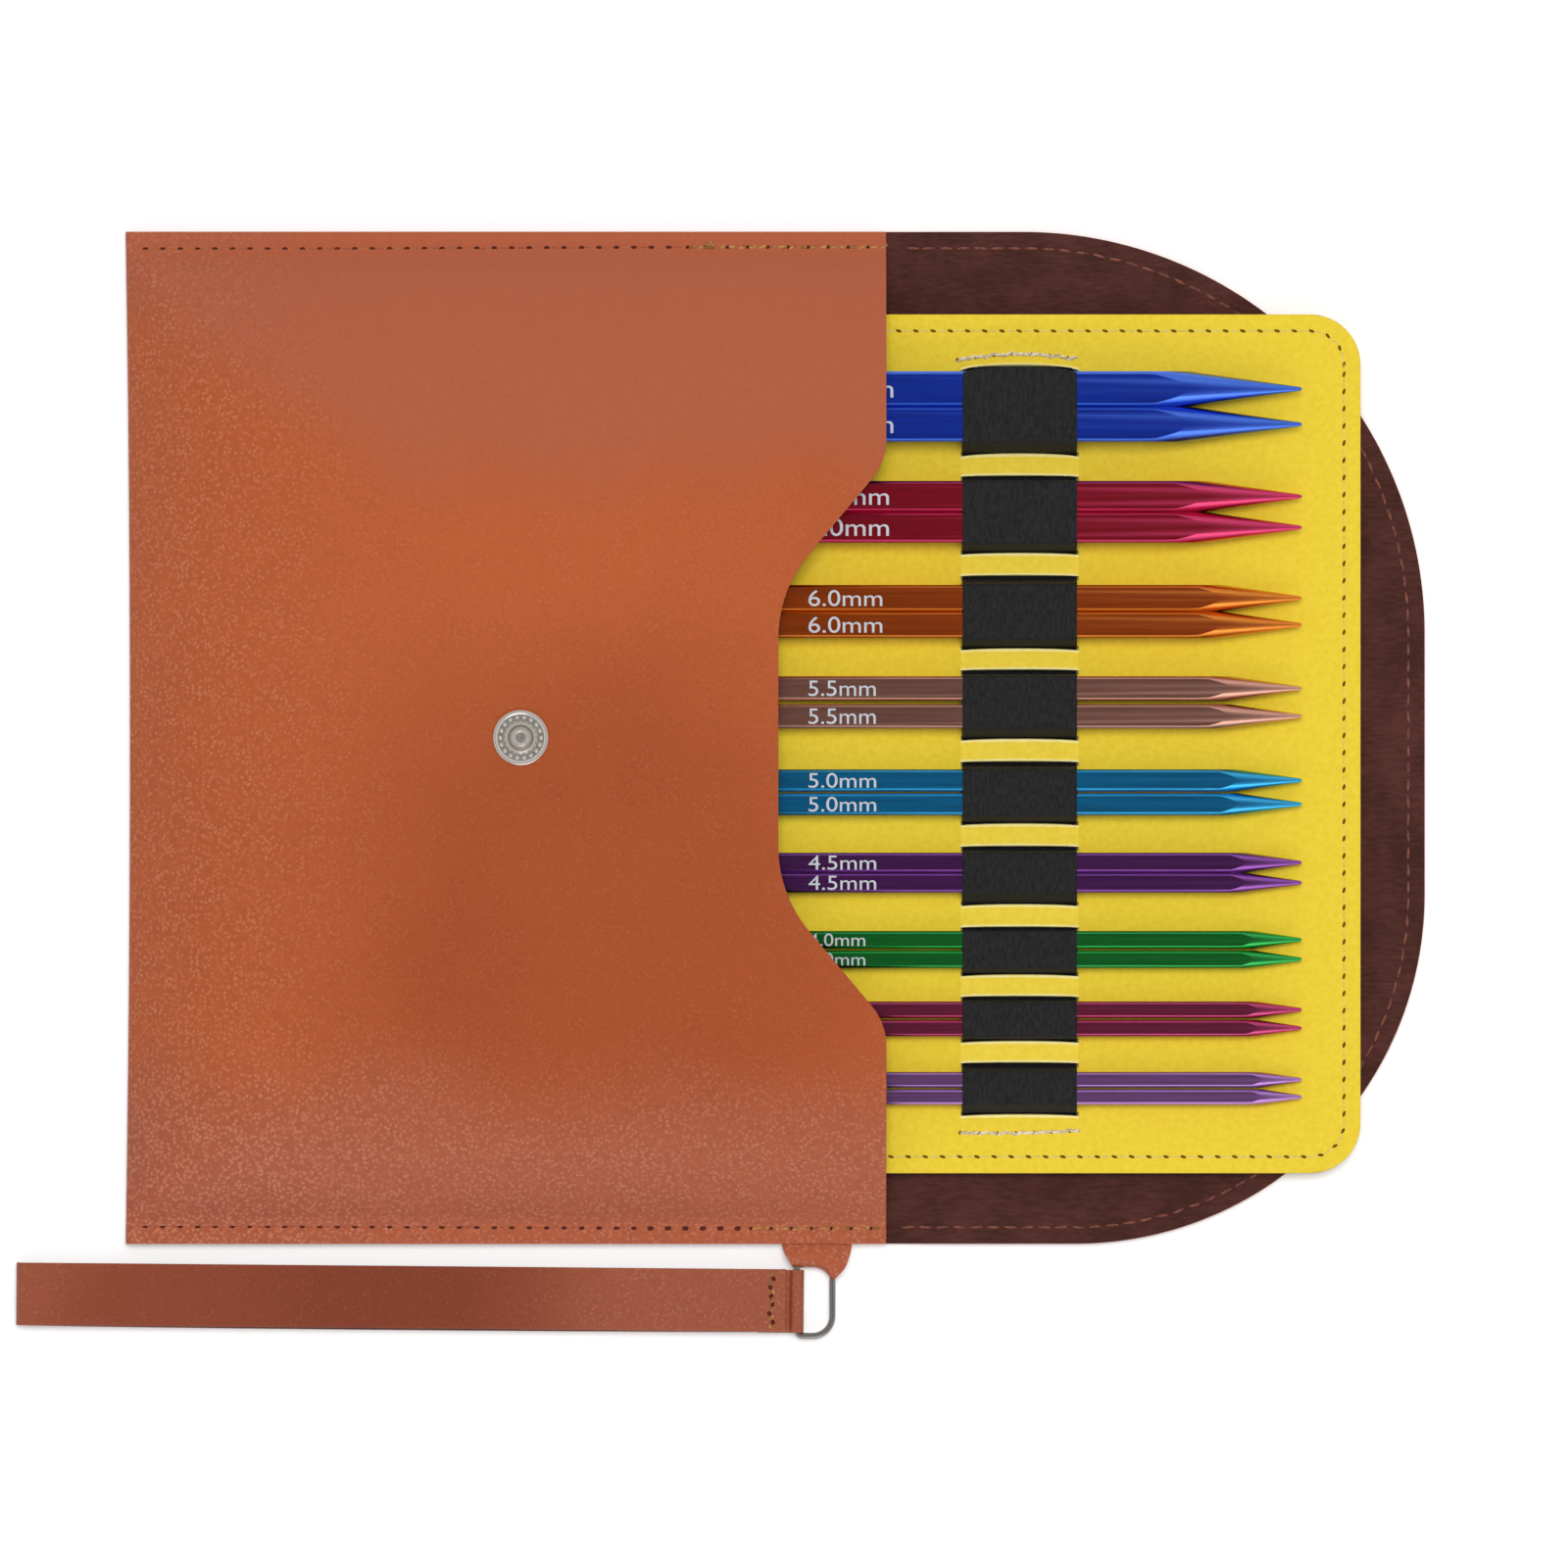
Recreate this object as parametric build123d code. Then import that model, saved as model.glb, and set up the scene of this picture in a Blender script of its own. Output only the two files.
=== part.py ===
from build123d import *
import math
import os

# Knitting needle case: a leather pouch with a long flap, a stitched insert board that
# slides in and out of the mouth, and nine pairs of square needles held by one woven
# elastic band. A snap closes the flap, and a wrist strap hangs on a D-ring in the seam.
# Millimetres. +X runs from the folded edge to the mouth and on to the flap's end, +Y to
# the seam without the strap, +Z up from the surface that the case lies on. The origin is
# the centre of the back panel's outer face.

os.makedirs("parts", exist_ok=True)

# Sheet stock
leather_t = 1.2
lining_t = 0.4
run_gap = 0.3

# Pouch
pouch_w = 174.0
pouch_h = 232.0
crown_z = 17.8
shoulder_z = 17.0
shoulder_y = 78.0
seam_w = 5.0
fold_run = 37.0
fold_rise = 0.5
fold_bevel = 1.4

# Thumb notch in the front panel's mouth
notch_depth = 24.7
notch_half_w = 64.2
notch_angle = 40.0
notch_mid_y = -1.1
notch_mouth_r = 14.0
notch_floor_r = 30.0

# Flap
flap_len = 123.5
flap_upper_r = 92.0
flap_lower_r = 80.0
flap_lift = 0.6
flap_ramp = 10.0
flap_step = 3.0

# Snap fastener
stud_x = 3.4
snap_r = 6.35
flange_t = 0.6
collar_r = 3.2
collar_h = 0.5
post_neck_r = 1.5
post_r = 1.9
post_h = 1.4
post_lead = 0.4
eyelet_r = 1.4
eyelet_gap = 0.1
backing_r = 4.6
backing_t = 0.5
backing_gap = 0.01
flap_wrap = 13.4
cap_h = 1.0
cap_plate = 0.4
cap_barrel_r = 3.4
cap_barrel_t = 1.2
cap_bevel = 0.35
snap_fit = 0.05
socket_r = 6.0
socket_h = 1.2
socket_bevel = 0.4
socket_sink = 0.3
socket_lip = 0.25
socket_bore_r = 2.05
spring_in_r = 1.75
spring_w = 0.7
spring_t = 0.4
spring_split = 50.0

# Insert board
board_w = 165.0
board_h = 196.8
board_mid_y = -1.4
board_corner_r = 11.5
board_out = 109.0
board_park = 0.3
skin_t = 0.7
core_t = 1.2
channel_depth = 0.8
channel_end = 1.0

# Elastic band, woven through slits in the insert's front skin
band_inset = 91.1
band_w = 26.0
band_t = 0.6
band_gap = 0.05
band_tail = 3.0
slit_gap = 0.2
slit_end_gap = 0.5
band_rise = 0.2

# Needles: size across the flats, middle of the pair in Y, gap in the pair, half the loop
pairs = [
    ("8_0", 8.0, 75.8, 0.1, 10.0),
    ("7_0", 7.0, 51.7, 0.1, 8.65),
    ("6_0", 6.0, 28.9, 0.1, 8.0),
    ("5_5", 5.5, 8.1, 0.9, 7.65),
    ("5_0", 5.0, -12.5, 0.45, 6.95),
    ("4_5", 4.5, -30.9, 0.1, 6.4),
    ("4_0", 4.0, -48.5, 0.45, 5.25),
    ("3_75", 3.75, -64.4, 0.45, 4.95),
    ("3_5", 3.5, -80.3, 0.45, 5.7),
]
needle_inset = 13.5
needle_len = 129.4
needle_gap = 0.05
edge_share = 0.09
taper_sides = 16
taper_angle = 7.8
tip_r = 0.45
tip_end_r = 0.2
tip_len = 0.4
heel_len = 1.0
heel_share = 0.52
collar_len = 3.5
collar_share = 0.3
collar_sides = 12
thread_len = 6.5
thread_r_small = 1.2
thread_r_large = 1.6
large_from = 5.5
thread_lead = 0.5

# Ring tab, D-ring and wrist strap
tab_x = 63.1
tab_w = 16.1
tab_root = 5.0
tab_ply = 0.8
tab_bore_r = 1.3
lip_x = 67.6
lip_w = 4.7
tab_shoulder = 2.0
tab_waist = 9.5
tab_waist_in = 2.2
ring_wire_r = 0.7
ring_bar_x = 66.5
ring_top_y = 119.3
ring_h = 17.8
ring_sides = 6
ring_w = 8.2
ring_bar_r = 1.5
ring_bow_r = 4.5
strap_len = 176.6
strap_w = 14.4
strap_mid_y = 129.0
strap_t = 1.0
strap_lining_t = 0.3
strap_turn = -0.5
strap_end_gap = 2.3
loop_ply = 0.8
loop_gap = 0.15
loop_w = 13.1
loop_mid_y = 128.75
loop_tail = 9.0

# Derived places
fold_x = -pouch_w / 2
mouth_x = pouch_w / 2
side_y = pouch_h / 2
sheet_t = leather_t + lining_t
seam_z = 2 * sheet_t
flap_top = flap_lift + sheet_t
socket_z = flap_top - socket_sink
board_z = socket_z + socket_h + run_gap
board_t = 2 * skin_t + core_t
board_top = board_z + board_t
board_end_x = mouth_x - board_park + board_out
board_x = board_end_x - board_w
board_mid_x = board_end_x - board_w / 2
snap_x = 2 * mouth_x - stud_x + flap_wrap
band_x = board_end_x - band_inset
needle_back_x = board_end_x - needle_inset - needle_len
strap_z = strap_t + strap_lining_t + loop_ply


def save(shape, node):
    """Write one sub-part to its own STEP file."""
    export_step(shape, "parts/" + node + ".step")


def slab(x0, x1, y0, y1, z0, z1):
    """Box between two corners."""
    return Pos((x0 + x1) / 2, (y0 + y1) / 2, (z0 + z1) / 2) * Box(x1 - x0, y1 - y0, z1 - z0)


def disc(x, z0, z1, r):
    """Upright cylinder on the case's middle line."""
    return Pos(x, 0, (z0 + z1) / 2) * Cylinder(r, z1 - z0)


def turned(x, z, outline):
    """Ring or button turned about an upright axis, from radius and height points."""
    face = make_face(Plane.XZ * Polyline(*outline, close=True))
    return Pos(x, 0, z) * revolve(face, Axis.Z)


# Pouch form: the view from the mouth, run along the case, cut to the view from the side
def mouth_view():
    """Flat seams, sides that curve up, and a slightly crowned top, as an outline across X."""
    seam_y = side_y - seam_w
    return make_face([
        Line((-side_y, 0), (-side_y, seam_z)),
        Line((-side_y, seam_z), (-seam_y, seam_z)),
        TangentArc((-shoulder_y, shoulder_z), (-seam_y, seam_z), tangent=(-1, 0)),
        ThreePointArc((-shoulder_y, shoulder_z), (0, crown_z), (shoulder_y, shoulder_z)),
        TangentArc((shoulder_y, shoulder_z), (seam_y, seam_z), tangent=(1, 0)),
        Line((seam_y, seam_z), (side_y, seam_z)),
        Line((side_y, seam_z), (side_y, 0)),
        Line((side_y, 0), (-side_y, 0)),
    ])


def seam_view():
    """Folded edge with its bevels, and an arc that rises from it and ends level."""
    fold_top = seam_z + fold_rise
    level_x = fold_x + fold_run
    return make_face([
        Line((mouth_x, 0), (fold_x + fold_bevel, 0)),
        Line((fold_x + fold_bevel, 0), (fold_x, fold_bevel)),
        Line((fold_x, fold_bevel), (fold_x, fold_top - fold_bevel)),
        Line((fold_x, fold_top - fold_bevel), (fold_x + fold_bevel, fold_top)),
        TangentArc((level_x, crown_z), (fold_x + fold_bevel, fold_top), tangent=(-1, 0)),
        Line((level_x, crown_z), (mouth_x, crown_z)),
        Line((mouth_x, crown_z), (mouth_x, 0)),
    ])


across = Plane(origin=(fold_x, 0, 0), x_dir=(0, 1, 0), z_dir=(1, 0, 0))
filled = extrude(across * mouth_view(), pouch_w)
filled &= extrude(Plane.XZ * seam_view(), side_y, both=True)

inside_leather = Pos(leather_t, 0, -leather_t) * filled
inside_lining = Pos(sheet_t, 0, -sheet_t) * filled

# Thumb notch, cut down through the front panel and its lining
notch_floor_x = mouth_x - notch_depth
notch_floor_half = notch_half_w - notch_depth / math.tan(math.radians(notch_angle))
past_mouth = mouth_x + notch_depth
notch_edge = FilletPolyline(
    (mouth_x, side_y - seam_w),
    (mouth_x, notch_half_w),
    (notch_floor_x, notch_floor_half),
    (notch_floor_x, -notch_floor_half),
    (mouth_x, -notch_half_w),
    (mouth_x, seam_w - side_y),
    radius=[notch_mouth_r, notch_floor_r, notch_floor_r, notch_mouth_r],
)
notch_rest = Polyline(
    (mouth_x, seam_w - side_y), (past_mouth, seam_w - side_y),
    (past_mouth, side_y - seam_w), (mouth_x, side_y - seam_w),
)
notch_face = make_face(notch_edge.edges() + notch_rest.edges())
notch = Pos(0, notch_mid_y, 0) * extrude(notch_face, 2 * crown_z)

# Stud place on the crown of the front panel
stud_hole = disc(stud_x, seam_z, crown_z + 1, eyelet_r + eyelet_gap)

front_panel = filled - inside_leather - notch - stud_hole
front_lining = inside_leather - inside_lining - notch - stud_hole
front_lining -= slab(fold_x, 2 * mouth_x, -side_y, side_y, -crown_z, sheet_t)
front_lining &= slab(fold_x, mouth_x, -side_y, side_y, 0, crown_z)

back_x = fold_x + leather_t
back_panel = slab(back_x, mouth_x, -side_y, side_y, 0, leather_t) - front_panel
back_lining = slab(back_x, mouth_x, -side_y, side_y, leather_t, sheet_t) - front_panel

# The tab's thin root takes the place of the two linings inside the seam
tab_seat = slab(tab_x, tab_x + tab_w, -side_y, tab_root - side_y, leather_t, leather_t + 2 * lining_t)
front_lining -= tab_seat
back_lining -= tab_seat

save(front_panel, "front_panel")
save(front_lining, "front_lining")
save(back_panel, "back_panel")
save(back_lining, "back_lining")


# Flap: leather and lining run on from the back panel, and rise by the snap cap's height
def flap_sheet(z0, z1):
    """One layer of the flap between two heights of its level part."""
    hinge_x = mouth_x + run_gap
    ramp_x = hinge_x + flap_step
    level_x = ramp_x + flap_ramp
    end_x = mouth_x + flap_len
    side = Polyline(
        (hinge_x, z0 - flap_lift), (ramp_x, z0 - flap_lift), (level_x, z0), (end_x, z0),
        (end_x, z1), (level_x, z1), (ramp_x, z1 - flap_lift), (hinge_x, z1 - flap_lift),
        close=True,
    )
    bent = extrude(Plane.XZ * make_face(side), side_y, both=True)
    plan = Pos(mouth_x + flap_len / 2 + run_gap / 2, 0) * Rectangle(flap_len - run_gap, pouch_h)
    far = plan.vertices().group_by(Axis.X)[-1].sort_by(Axis.Y)
    plan = fillet(far[1], flap_upper_r)
    far = plan.vertices().filter_by(lambda v: v.X > end_x - 1 and v.Y < 1 - side_y)
    plan = fillet(far, flap_lower_r)
    return bent & extrude(plan, flap_top + flap_lift)


cap_seat = disc(snap_x, 0, cap_h, snap_r + snap_fit)
barrel_hole = disc(snap_x, 0, flap_top, cap_barrel_r + snap_fit)
socket_seat = disc(snap_x, socket_z, flap_top, socket_r + snap_fit)
flap_leather = flap_sheet(flap_lift, flap_lift + leather_t) - cap_seat - barrel_hole
flap_lining = flap_sheet(flap_lift + leather_t, flap_top) - socket_seat - barrel_hole
save(flap_leather, "flap_leather")
save(flap_lining, "flap_lining")

# Snap: stud and backing on the front panel, cap, socket and ring spring on the flap.
# The stud's post is narrow at its neck, where the ring spring grips it.
rivet_z = -sheet_t - backing_t
neck_z = flange_t + collar_h
stud_top = neck_z + post_h
snap_stud = turned(stud_x, crown_z, [
    (0, rivet_z), (eyelet_r, rivet_z), (eyelet_r, 0), (snap_r, 0), (snap_r - flange_t / 2, flange_t),
    (collar_r, flange_t), (post_neck_r, neck_z), (post_r, stud_top - post_lead),
    (post_r - post_lead, stud_top), (0, stud_top),
])
save(snap_stud, "snap_stud")

backing_top = crown_z - sheet_t - backing_gap
snap_backing = disc(stud_x, backing_top - backing_t, backing_top, backing_r)
snap_backing -= disc(stud_x, backing_top - backing_t, backing_top, eyelet_r)
save(snap_backing, "snap_backing")

# The cap's barrel holds the socket on, and the spring lies between its rim and the lip
lip_z = socket_z + socket_h - socket_lip
barrel_top = lip_z - spring_t - 2 * snap_fit
barrel_in_r = cap_barrel_r - cap_barrel_t
snap_cap = turned(snap_x, 0, [
    (0, 0), (snap_r - cap_bevel, 0), (snap_r, cap_h), (cap_barrel_r, cap_h),
    (cap_barrel_r, barrel_top), (barrel_in_r, barrel_top), (barrel_in_r, cap_plate), (0, cap_plate),
])
save(snap_cap, "snap_cap")

socket_in_r = cap_barrel_r + snap_fit
snap_socket = turned(snap_x, socket_z, [
    (socket_in_r, 0), (socket_r, 0), (socket_r - socket_bevel, socket_h), (socket_bore_r, socket_h),
    (socket_bore_r, socket_h - socket_lip), (socket_in_r, socket_h - socket_lip),
])
save(snap_socket, "snap_socket")

spring_r = spring_in_r + spring_w / 2
spring_arc = CenterArc((0, 0), spring_r, spring_split / 2, 360 - spring_split)
spring_end = Plane(origin=spring_arc @ 0, z_dir=spring_arc % 0) * Rectangle(spring_w, spring_t)
spring_z = barrel_top + snap_fit + spring_t / 2
snap_spring = Pos(snap_x, 0, spring_z) * sweep(spring_end, path=spring_arc)
save(snap_spring, "snap_spring")


# Insert board: two skins on a card core, which is channelled for the elastic band
def board_layer(z0, z1):
    """One layer of the insert, with the board's rounded corners."""
    plan = RectangleRounded(board_w, board_h, board_corner_r)
    return Pos(board_mid_x, board_mid_y, z0) * extrude(plan, z1 - z0)


band_low = board_z + skin_t + core_t - channel_depth / 2
band_first = pairs[0][2] + pairs[0][4] + band_tail
band_last = pairs[-1][2] - pairs[-1][4] - band_tail
insert_back = board_layer(board_z, board_z + skin_t)
insert_core = board_layer(board_z + skin_t, board_z + skin_t + core_t)
insert_core -= slab(
    band_x - slit_end_gap, band_x + band_w + slit_end_gap,
    band_last - channel_end, band_first + channel_end,
    board_z + skin_t + core_t - channel_depth, board_top,
)
insert_front = board_layer(board_top - skin_t, board_top)
for name, size, mid_y, gap, loop_half in pairs:
    for side in (1, -1):
        slit_y = mid_y + side * (loop_half - band_t / 2)
        slit_half = band_t / 2 + slit_gap
        insert_front -= slab(
            band_x - slit_end_gap, band_x + band_w + slit_end_gap,
            slit_y - slit_half, slit_y + slit_half, board_top - skin_t, board_top,
        )
save(insert_back, "insert_back")
save(insert_core, "insert_core")
save(insert_front, "insert_front")


# Elastic band: its middle line dips under the skin between pairs and loops over each pair
def band_line():
    """Points of the band's middle line, as (y, z), from the 8 mm end down."""
    points = [(band_first, band_low)]
    for name, size, mid_y, gap, loop_half in pairs:
        foot = loop_half - band_t / 2
        top = size + gap / 2 + band_gap + band_t / 2
        top_z = board_top + needle_gap + size + band_gap + band_t / 2
        foot_z = board_top + band_rise
        points += [(mid_y + foot, band_low), (mid_y + foot, foot_z), (mid_y + top, top_z)]
        points += [(mid_y - top, top_z), (mid_y - foot, foot_z), (mid_y - foot, band_low)]
    return points + [(band_last, band_low)]


def ribbon(points, thick):
    """Closed outline of a strip of even thickness along a line of points."""
    edges = []
    for side in (1, -1):
        row = []
        for i, point in enumerate(points):
            here = Vector(*point)
            before = Vector(*points[i - 1]) if i else here
            after = Vector(*points[i + 1]) if i + 1 < len(points) else here
            into = (here - before).normalized() if i else (after - here).normalized()
            out = (after - here).normalized() if i + 1 < len(points) else into
            mean = (into + out).normalized()
            reach = thick / 2 / max(mean.dot(into), 0.2)
            row.append((here.X - side * mean.Y * reach, here.Y + side * mean.X * reach))
        edges.append(row)
    return make_face(Polyline(*(edges[0] + edges[1][::-1]), close=True))


band_plane = Plane(origin=(band_x, 0, 0), x_dir=(0, 1, 0), z_dir=(1, 0, 0))
elastic_band = extrude(band_plane * ribbon(band_line(), band_t), band_w)
save(elastic_band, "elastic_band")


# Needles: a square bar with bevelled edges, ground to a round point, and its screw end
def many_sided(x, r, sides):
    """Polygon across X whose flats stand r from the needle's middle line."""
    across = Plane(origin=(x, 0, 0), x_dir=(0, 1, 0), z_dir=(1, 0, 0))
    return across * RegularPolygon(r, sides, major_radius=False)


def grind(bar, x, r, lean):
    """Cut flats all round a bar: they pass r from its middle line at x, and lean inwards."""
    for i in range(taper_sides):
        turn = math.tau * (i + 0.5) / taper_sides
        out = Vector(0, math.cos(turn), math.sin(turn))
        face = Vector(math.sin(lean), 0, 0) + out * math.cos(lean)
        bar = split(bar, bisect_by=Plane(origin=Vector(x, 0, 0) + out * r, z_dir=face),
                    keep=Keep.BOTTOM)
    return bar


def needle(size):
    """One needle along X, from its heel to its point."""
    corner_r = size * math.hypot(0.5, 0.5 - edge_share)
    taper = math.radians(taper_angle)
    tip_x = needle_len - tip_len
    square = Rectangle(size, size)
    square = chamfer(square.vertices(), size * edge_share)
    bar = extrude(Plane.YZ * square, needle_len)
    bar = grind(bar, heel_len, corner_r, -math.atan((corner_r - heel_share * size) / heel_len))
    bar = grind(bar, tip_x, tip_r, taper)
    return grind(bar, tip_x, tip_r, math.atan((tip_r - tip_end_r) / tip_len))


def screw_end(size, y, z):
    """Steel collar and stud that the cord of a needle screws on to."""
    thread_r = thread_r_large if size >= large_from else thread_r_small
    end_r = max(collar_share * size, thread_r + thread_lead)
    collar = extrude(many_sided(0, end_r, collar_sides), -collar_len)
    stud = extrude(many_sided(-collar_len, thread_r, collar_sides), -thread_len)
    stud = chamfer(stud.faces().sort_by(Axis.X)[0].edges(), thread_lead)
    return Pos(needle_back_x, y, z) * (collar + stud)


for name, size, mid_y, gap, loop_half in pairs:
    needle_z = board_top + needle_gap + size / 2
    bar = needle(size)
    for row, side in (("upper", 1), ("lower", -1)):
        needle_y = mid_y + side * (size + gap) / 2
        save(Pos(needle_back_x, needle_y, needle_z) * bar, "needle_" + name + "_" + row)
        save(screw_end(size, needle_y, needle_z), "screw_end_" + name + "_" + row)

# Ring tab: a leather strip folded round the ring, its skived root sewn into the seam
tab_outer_r = tab_bore_r + tab_ply
tab_loop = Pos(-ring_top_y, strap_z) * Circle(tab_outer_r)
tab_base = Line((-side_y, leather_t), (-side_y, leather_t + 2 * lining_t))
tab_side = make_hull(tab_loop.edges() + tab_base.edges())
tab_side -= Pos(-ring_top_y, strap_z) * Circle(tab_bore_r)
tab_plane = Plane(origin=(tab_x, 0, 0), x_dir=(0, 1, 0), z_dir=(1, 0, 0))
neck_y = -side_y - tab_shoulder
neck_x = tab_x + tab_waist_in
low_y = -ring_top_y - tab_outer_r
tab_plan = make_face(Polyline(
    (tab_x, -side_y), (neck_x, neck_y), (lip_x, neck_y), (lip_x, low_y),
    (lip_x + lip_w, low_y), (lip_x + lip_w, neck_y), (neck_x + tab_waist, neck_y),
    (tab_x + tab_w, -side_y), close=True,
))
ring_tab = extrude(tab_plane * tab_side, tab_w) & extrude(tab_plan, crown_z)
ring_tab += tab_seat
save(ring_tab, "ring_tab")

# D-ring: straight bar in the strap's loop, bow through the tab
ring_right_x = ring_bar_x + ring_w
ring_low_y = -ring_top_y - ring_h
ring_line = FilletPolyline(
    (ring_bar_x, -ring_top_y), (ring_right_x, -ring_top_y),
    (ring_right_x, ring_low_y), (ring_bar_x, ring_low_y),
    radius=[ring_bar_r, ring_bow_r, ring_bow_r, ring_bar_r], close=True,
)
ring_start = Plane(origin=ring_line @ 0, z_dir=ring_line % 0)
ring_wire = ring_start * RegularPolygon(ring_wire_r, ring_sides)
d_ring = Pos(0, 0, strap_z) * sweep(ring_wire, path=ring_line)
save(d_ring, "d_ring")


# Wrist strap: one lined strip folded flat, both ends sewn to a short loop on the bar
def folded_strip(inset, right_x):
    """Side view of the strap's outline, drawn in by a thickness."""
    half = strap_z - inset
    left = ring_bar_x - strap_end_gap - strap_len + inset
    return make_face([
        Line((right_x, half), (left + half, half)),
        ThreePointArc((left + half, half), (left, 0), (left + half, -half)),
        Line((left + half, -half), (right_x, -half)),
        Line((right_x, -half), (right_x, half)),
    ])


def strip_layer(outer, inner):
    """One layer of the strap, between two insets, turned to lie as it falls."""
    end_x = ring_bar_x - strap_end_gap
    face = folded_strip(outer, end_x) - folded_strip(inner, end_x)
    layer = extrude(Plane.XZ * face, strap_w / 2, both=True)
    return Pos(0, -strap_mid_y, strap_z) * layer


def strap_lie(shape):
    """Turn a strap piece a little about the ring's bar."""
    pivot = Pos(ring_bar_x, -strap_mid_y, 0)
    return pivot * Rot(0, 0, strap_turn) * pivot.inverse() * shape


wrist_strap = strap_lie(strip_layer(0, strap_t))
strap_lining = strap_lie(strip_layer(strap_t, strap_t + strap_lining_t))
loop_bore_r = ring_wire_r + loop_gap
strap_loop = Circle(loop_bore_r + loop_ply) + Pos(-loop_tail / 2, 0) * Rectangle(loop_tail, 2 * loop_ply)
strap_loop -= Circle(loop_bore_r)
strap_loop = extrude(Plane.XZ * strap_loop, loop_w / 2, both=True)
strap_loop = strap_lie(Pos(ring_bar_x, -loop_mid_y, strap_z) * strap_loop)
save(wrist_strap, "wrist_strap")
save(strap_lining, "strap_lining")
save(strap_loop, "strap_loop")
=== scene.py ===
import math

import bpy
import numpy as np
from mathutils import Matrix, Vector


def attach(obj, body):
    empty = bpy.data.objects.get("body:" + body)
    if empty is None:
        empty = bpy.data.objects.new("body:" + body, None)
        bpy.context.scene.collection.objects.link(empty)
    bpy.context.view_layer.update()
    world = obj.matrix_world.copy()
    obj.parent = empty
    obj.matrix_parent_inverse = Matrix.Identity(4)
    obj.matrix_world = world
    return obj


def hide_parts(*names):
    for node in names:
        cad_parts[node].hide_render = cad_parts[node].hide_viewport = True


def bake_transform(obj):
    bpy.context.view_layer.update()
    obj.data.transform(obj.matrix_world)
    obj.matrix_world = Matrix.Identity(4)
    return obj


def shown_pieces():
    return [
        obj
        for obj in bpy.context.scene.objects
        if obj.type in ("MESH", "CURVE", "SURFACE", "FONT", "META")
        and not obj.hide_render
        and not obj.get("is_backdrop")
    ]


# Knitting needle case: a leather pouch lies open on its back, and an insert board with nine
# pairs of coloured square needles is drawn out over its flap. Lengths below are millimetres
# and become metres where a mesh or an object gets them.
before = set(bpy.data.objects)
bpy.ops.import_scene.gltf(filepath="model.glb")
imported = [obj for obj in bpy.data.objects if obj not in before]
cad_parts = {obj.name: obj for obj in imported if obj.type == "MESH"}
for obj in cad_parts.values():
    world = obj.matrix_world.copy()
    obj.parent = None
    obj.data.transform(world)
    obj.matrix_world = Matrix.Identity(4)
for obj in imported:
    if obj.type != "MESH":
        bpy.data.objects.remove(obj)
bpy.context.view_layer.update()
MM = 0.001


# Camera, light and floor. The photograph looks straight down at a white table. A soft lamp
# overhead throws short shadows. Metal and sheen show a room that is dim overhead and bright
# all round, with a soft box in front, so flats are deep in colour and their flanks shine.
def set_inputs(tree, node, inputs):
    """Set a node's inputs, or link them to a socket or to a node's first output."""
    for socket, value in inputs.items():
        if isinstance(value, bpy.types.Node):
            value = value.outputs[0]
        if isinstance(value, bpy.types.NodeSocket):
            tree.links.new(value, node.inputs[socket])
        else:
            node.inputs[socket].default_value = value


def add_node(tree, kind, inputs=None, **fields):
    """Add a shader node with its fields and inputs."""
    node = tree.nodes.new("ShaderNode" + kind)
    for field, value in fields.items():
        setattr(node, field, value)
    set_inputs(tree, node, inputs or {})
    return node


def linear(hex_colour):
    """Linear RGBA from an sRGB hex value."""
    parts = [int(hex_colour[i:i + 2], 16) / 255 for i in (1, 3, 5)]
    return [p / 12.92 if p <= 0.04045 else ((p + 0.055) / 1.055) ** 2.4 for p in parts] + [1]


scene = bpy.context.scene
scene.view_settings.view_transform = "Standard"
frame_x, frame_y, frame_width, camera_height = 63.6, -10.6, 359.6, 6000
camera_data = bpy.data.cameras.new("camera")
camera_data.lens = camera_data.sensor_width * camera_height / frame_width
camera = bpy.data.objects.new("camera", camera_data)
camera.location = Vector((frame_x, frame_y, camera_height)) * MM
scene.collection.objects.link(camera)
scene.camera = camera

sky = bpy.data.worlds.new("soft room")
sky.use_nodes = True
sky.node_tree.nodes.clear()
direction = add_node(sky.node_tree, "TexCoord")
height = add_node(sky.node_tree, "SeparateXYZ", {0: direction.outputs["Generated"]})
room = add_node(sky.node_tree, "ValToRGB", {0: height.outputs["Z"]})
room.color_ramp.elements[0].color = [0.5, 0.5, 0.5, 1]
for stop, level in ((0.3, 0.85), (0.62, 0.85), (0.9, 0.6), (0.965, 0.5)):
    room.color_ramp.elements.new(stop).color = [level, level, level, 1]
room.color_ramp.elements[-1].color = [0.17, 0.17, 0.17, 1]


def mirrored_share(tree):
    """Light Path node, and 1 where a mirrored or refracted ray goes."""
    path = add_node(tree, "LightPath")
    seen = add_node(tree, "Math", {
        0: path.outputs["Is Glossy Ray"], 1: path.outputs["Is Transmission Ray"]},
        operation="MAXIMUM")
    return path, seen


path, mirrored = mirrored_share(sky.node_tree)
around = add_node(sky.node_tree, "MapRange", {"Value": mirrored, "To Min": 0.38, "To Max": room})
strength = add_node(sky.node_tree, "MapRange", {
    "Value": path.outputs["Is Camera Ray"], "To Min": around, "To Max": 1})
glow = add_node(sky.node_tree, "Background", {"Color": (1, 1, 1, 1), "Strength": strength})
add_node(sky.node_tree, "OutputWorld", {"Surface": glow})
scene.world = sky


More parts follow.
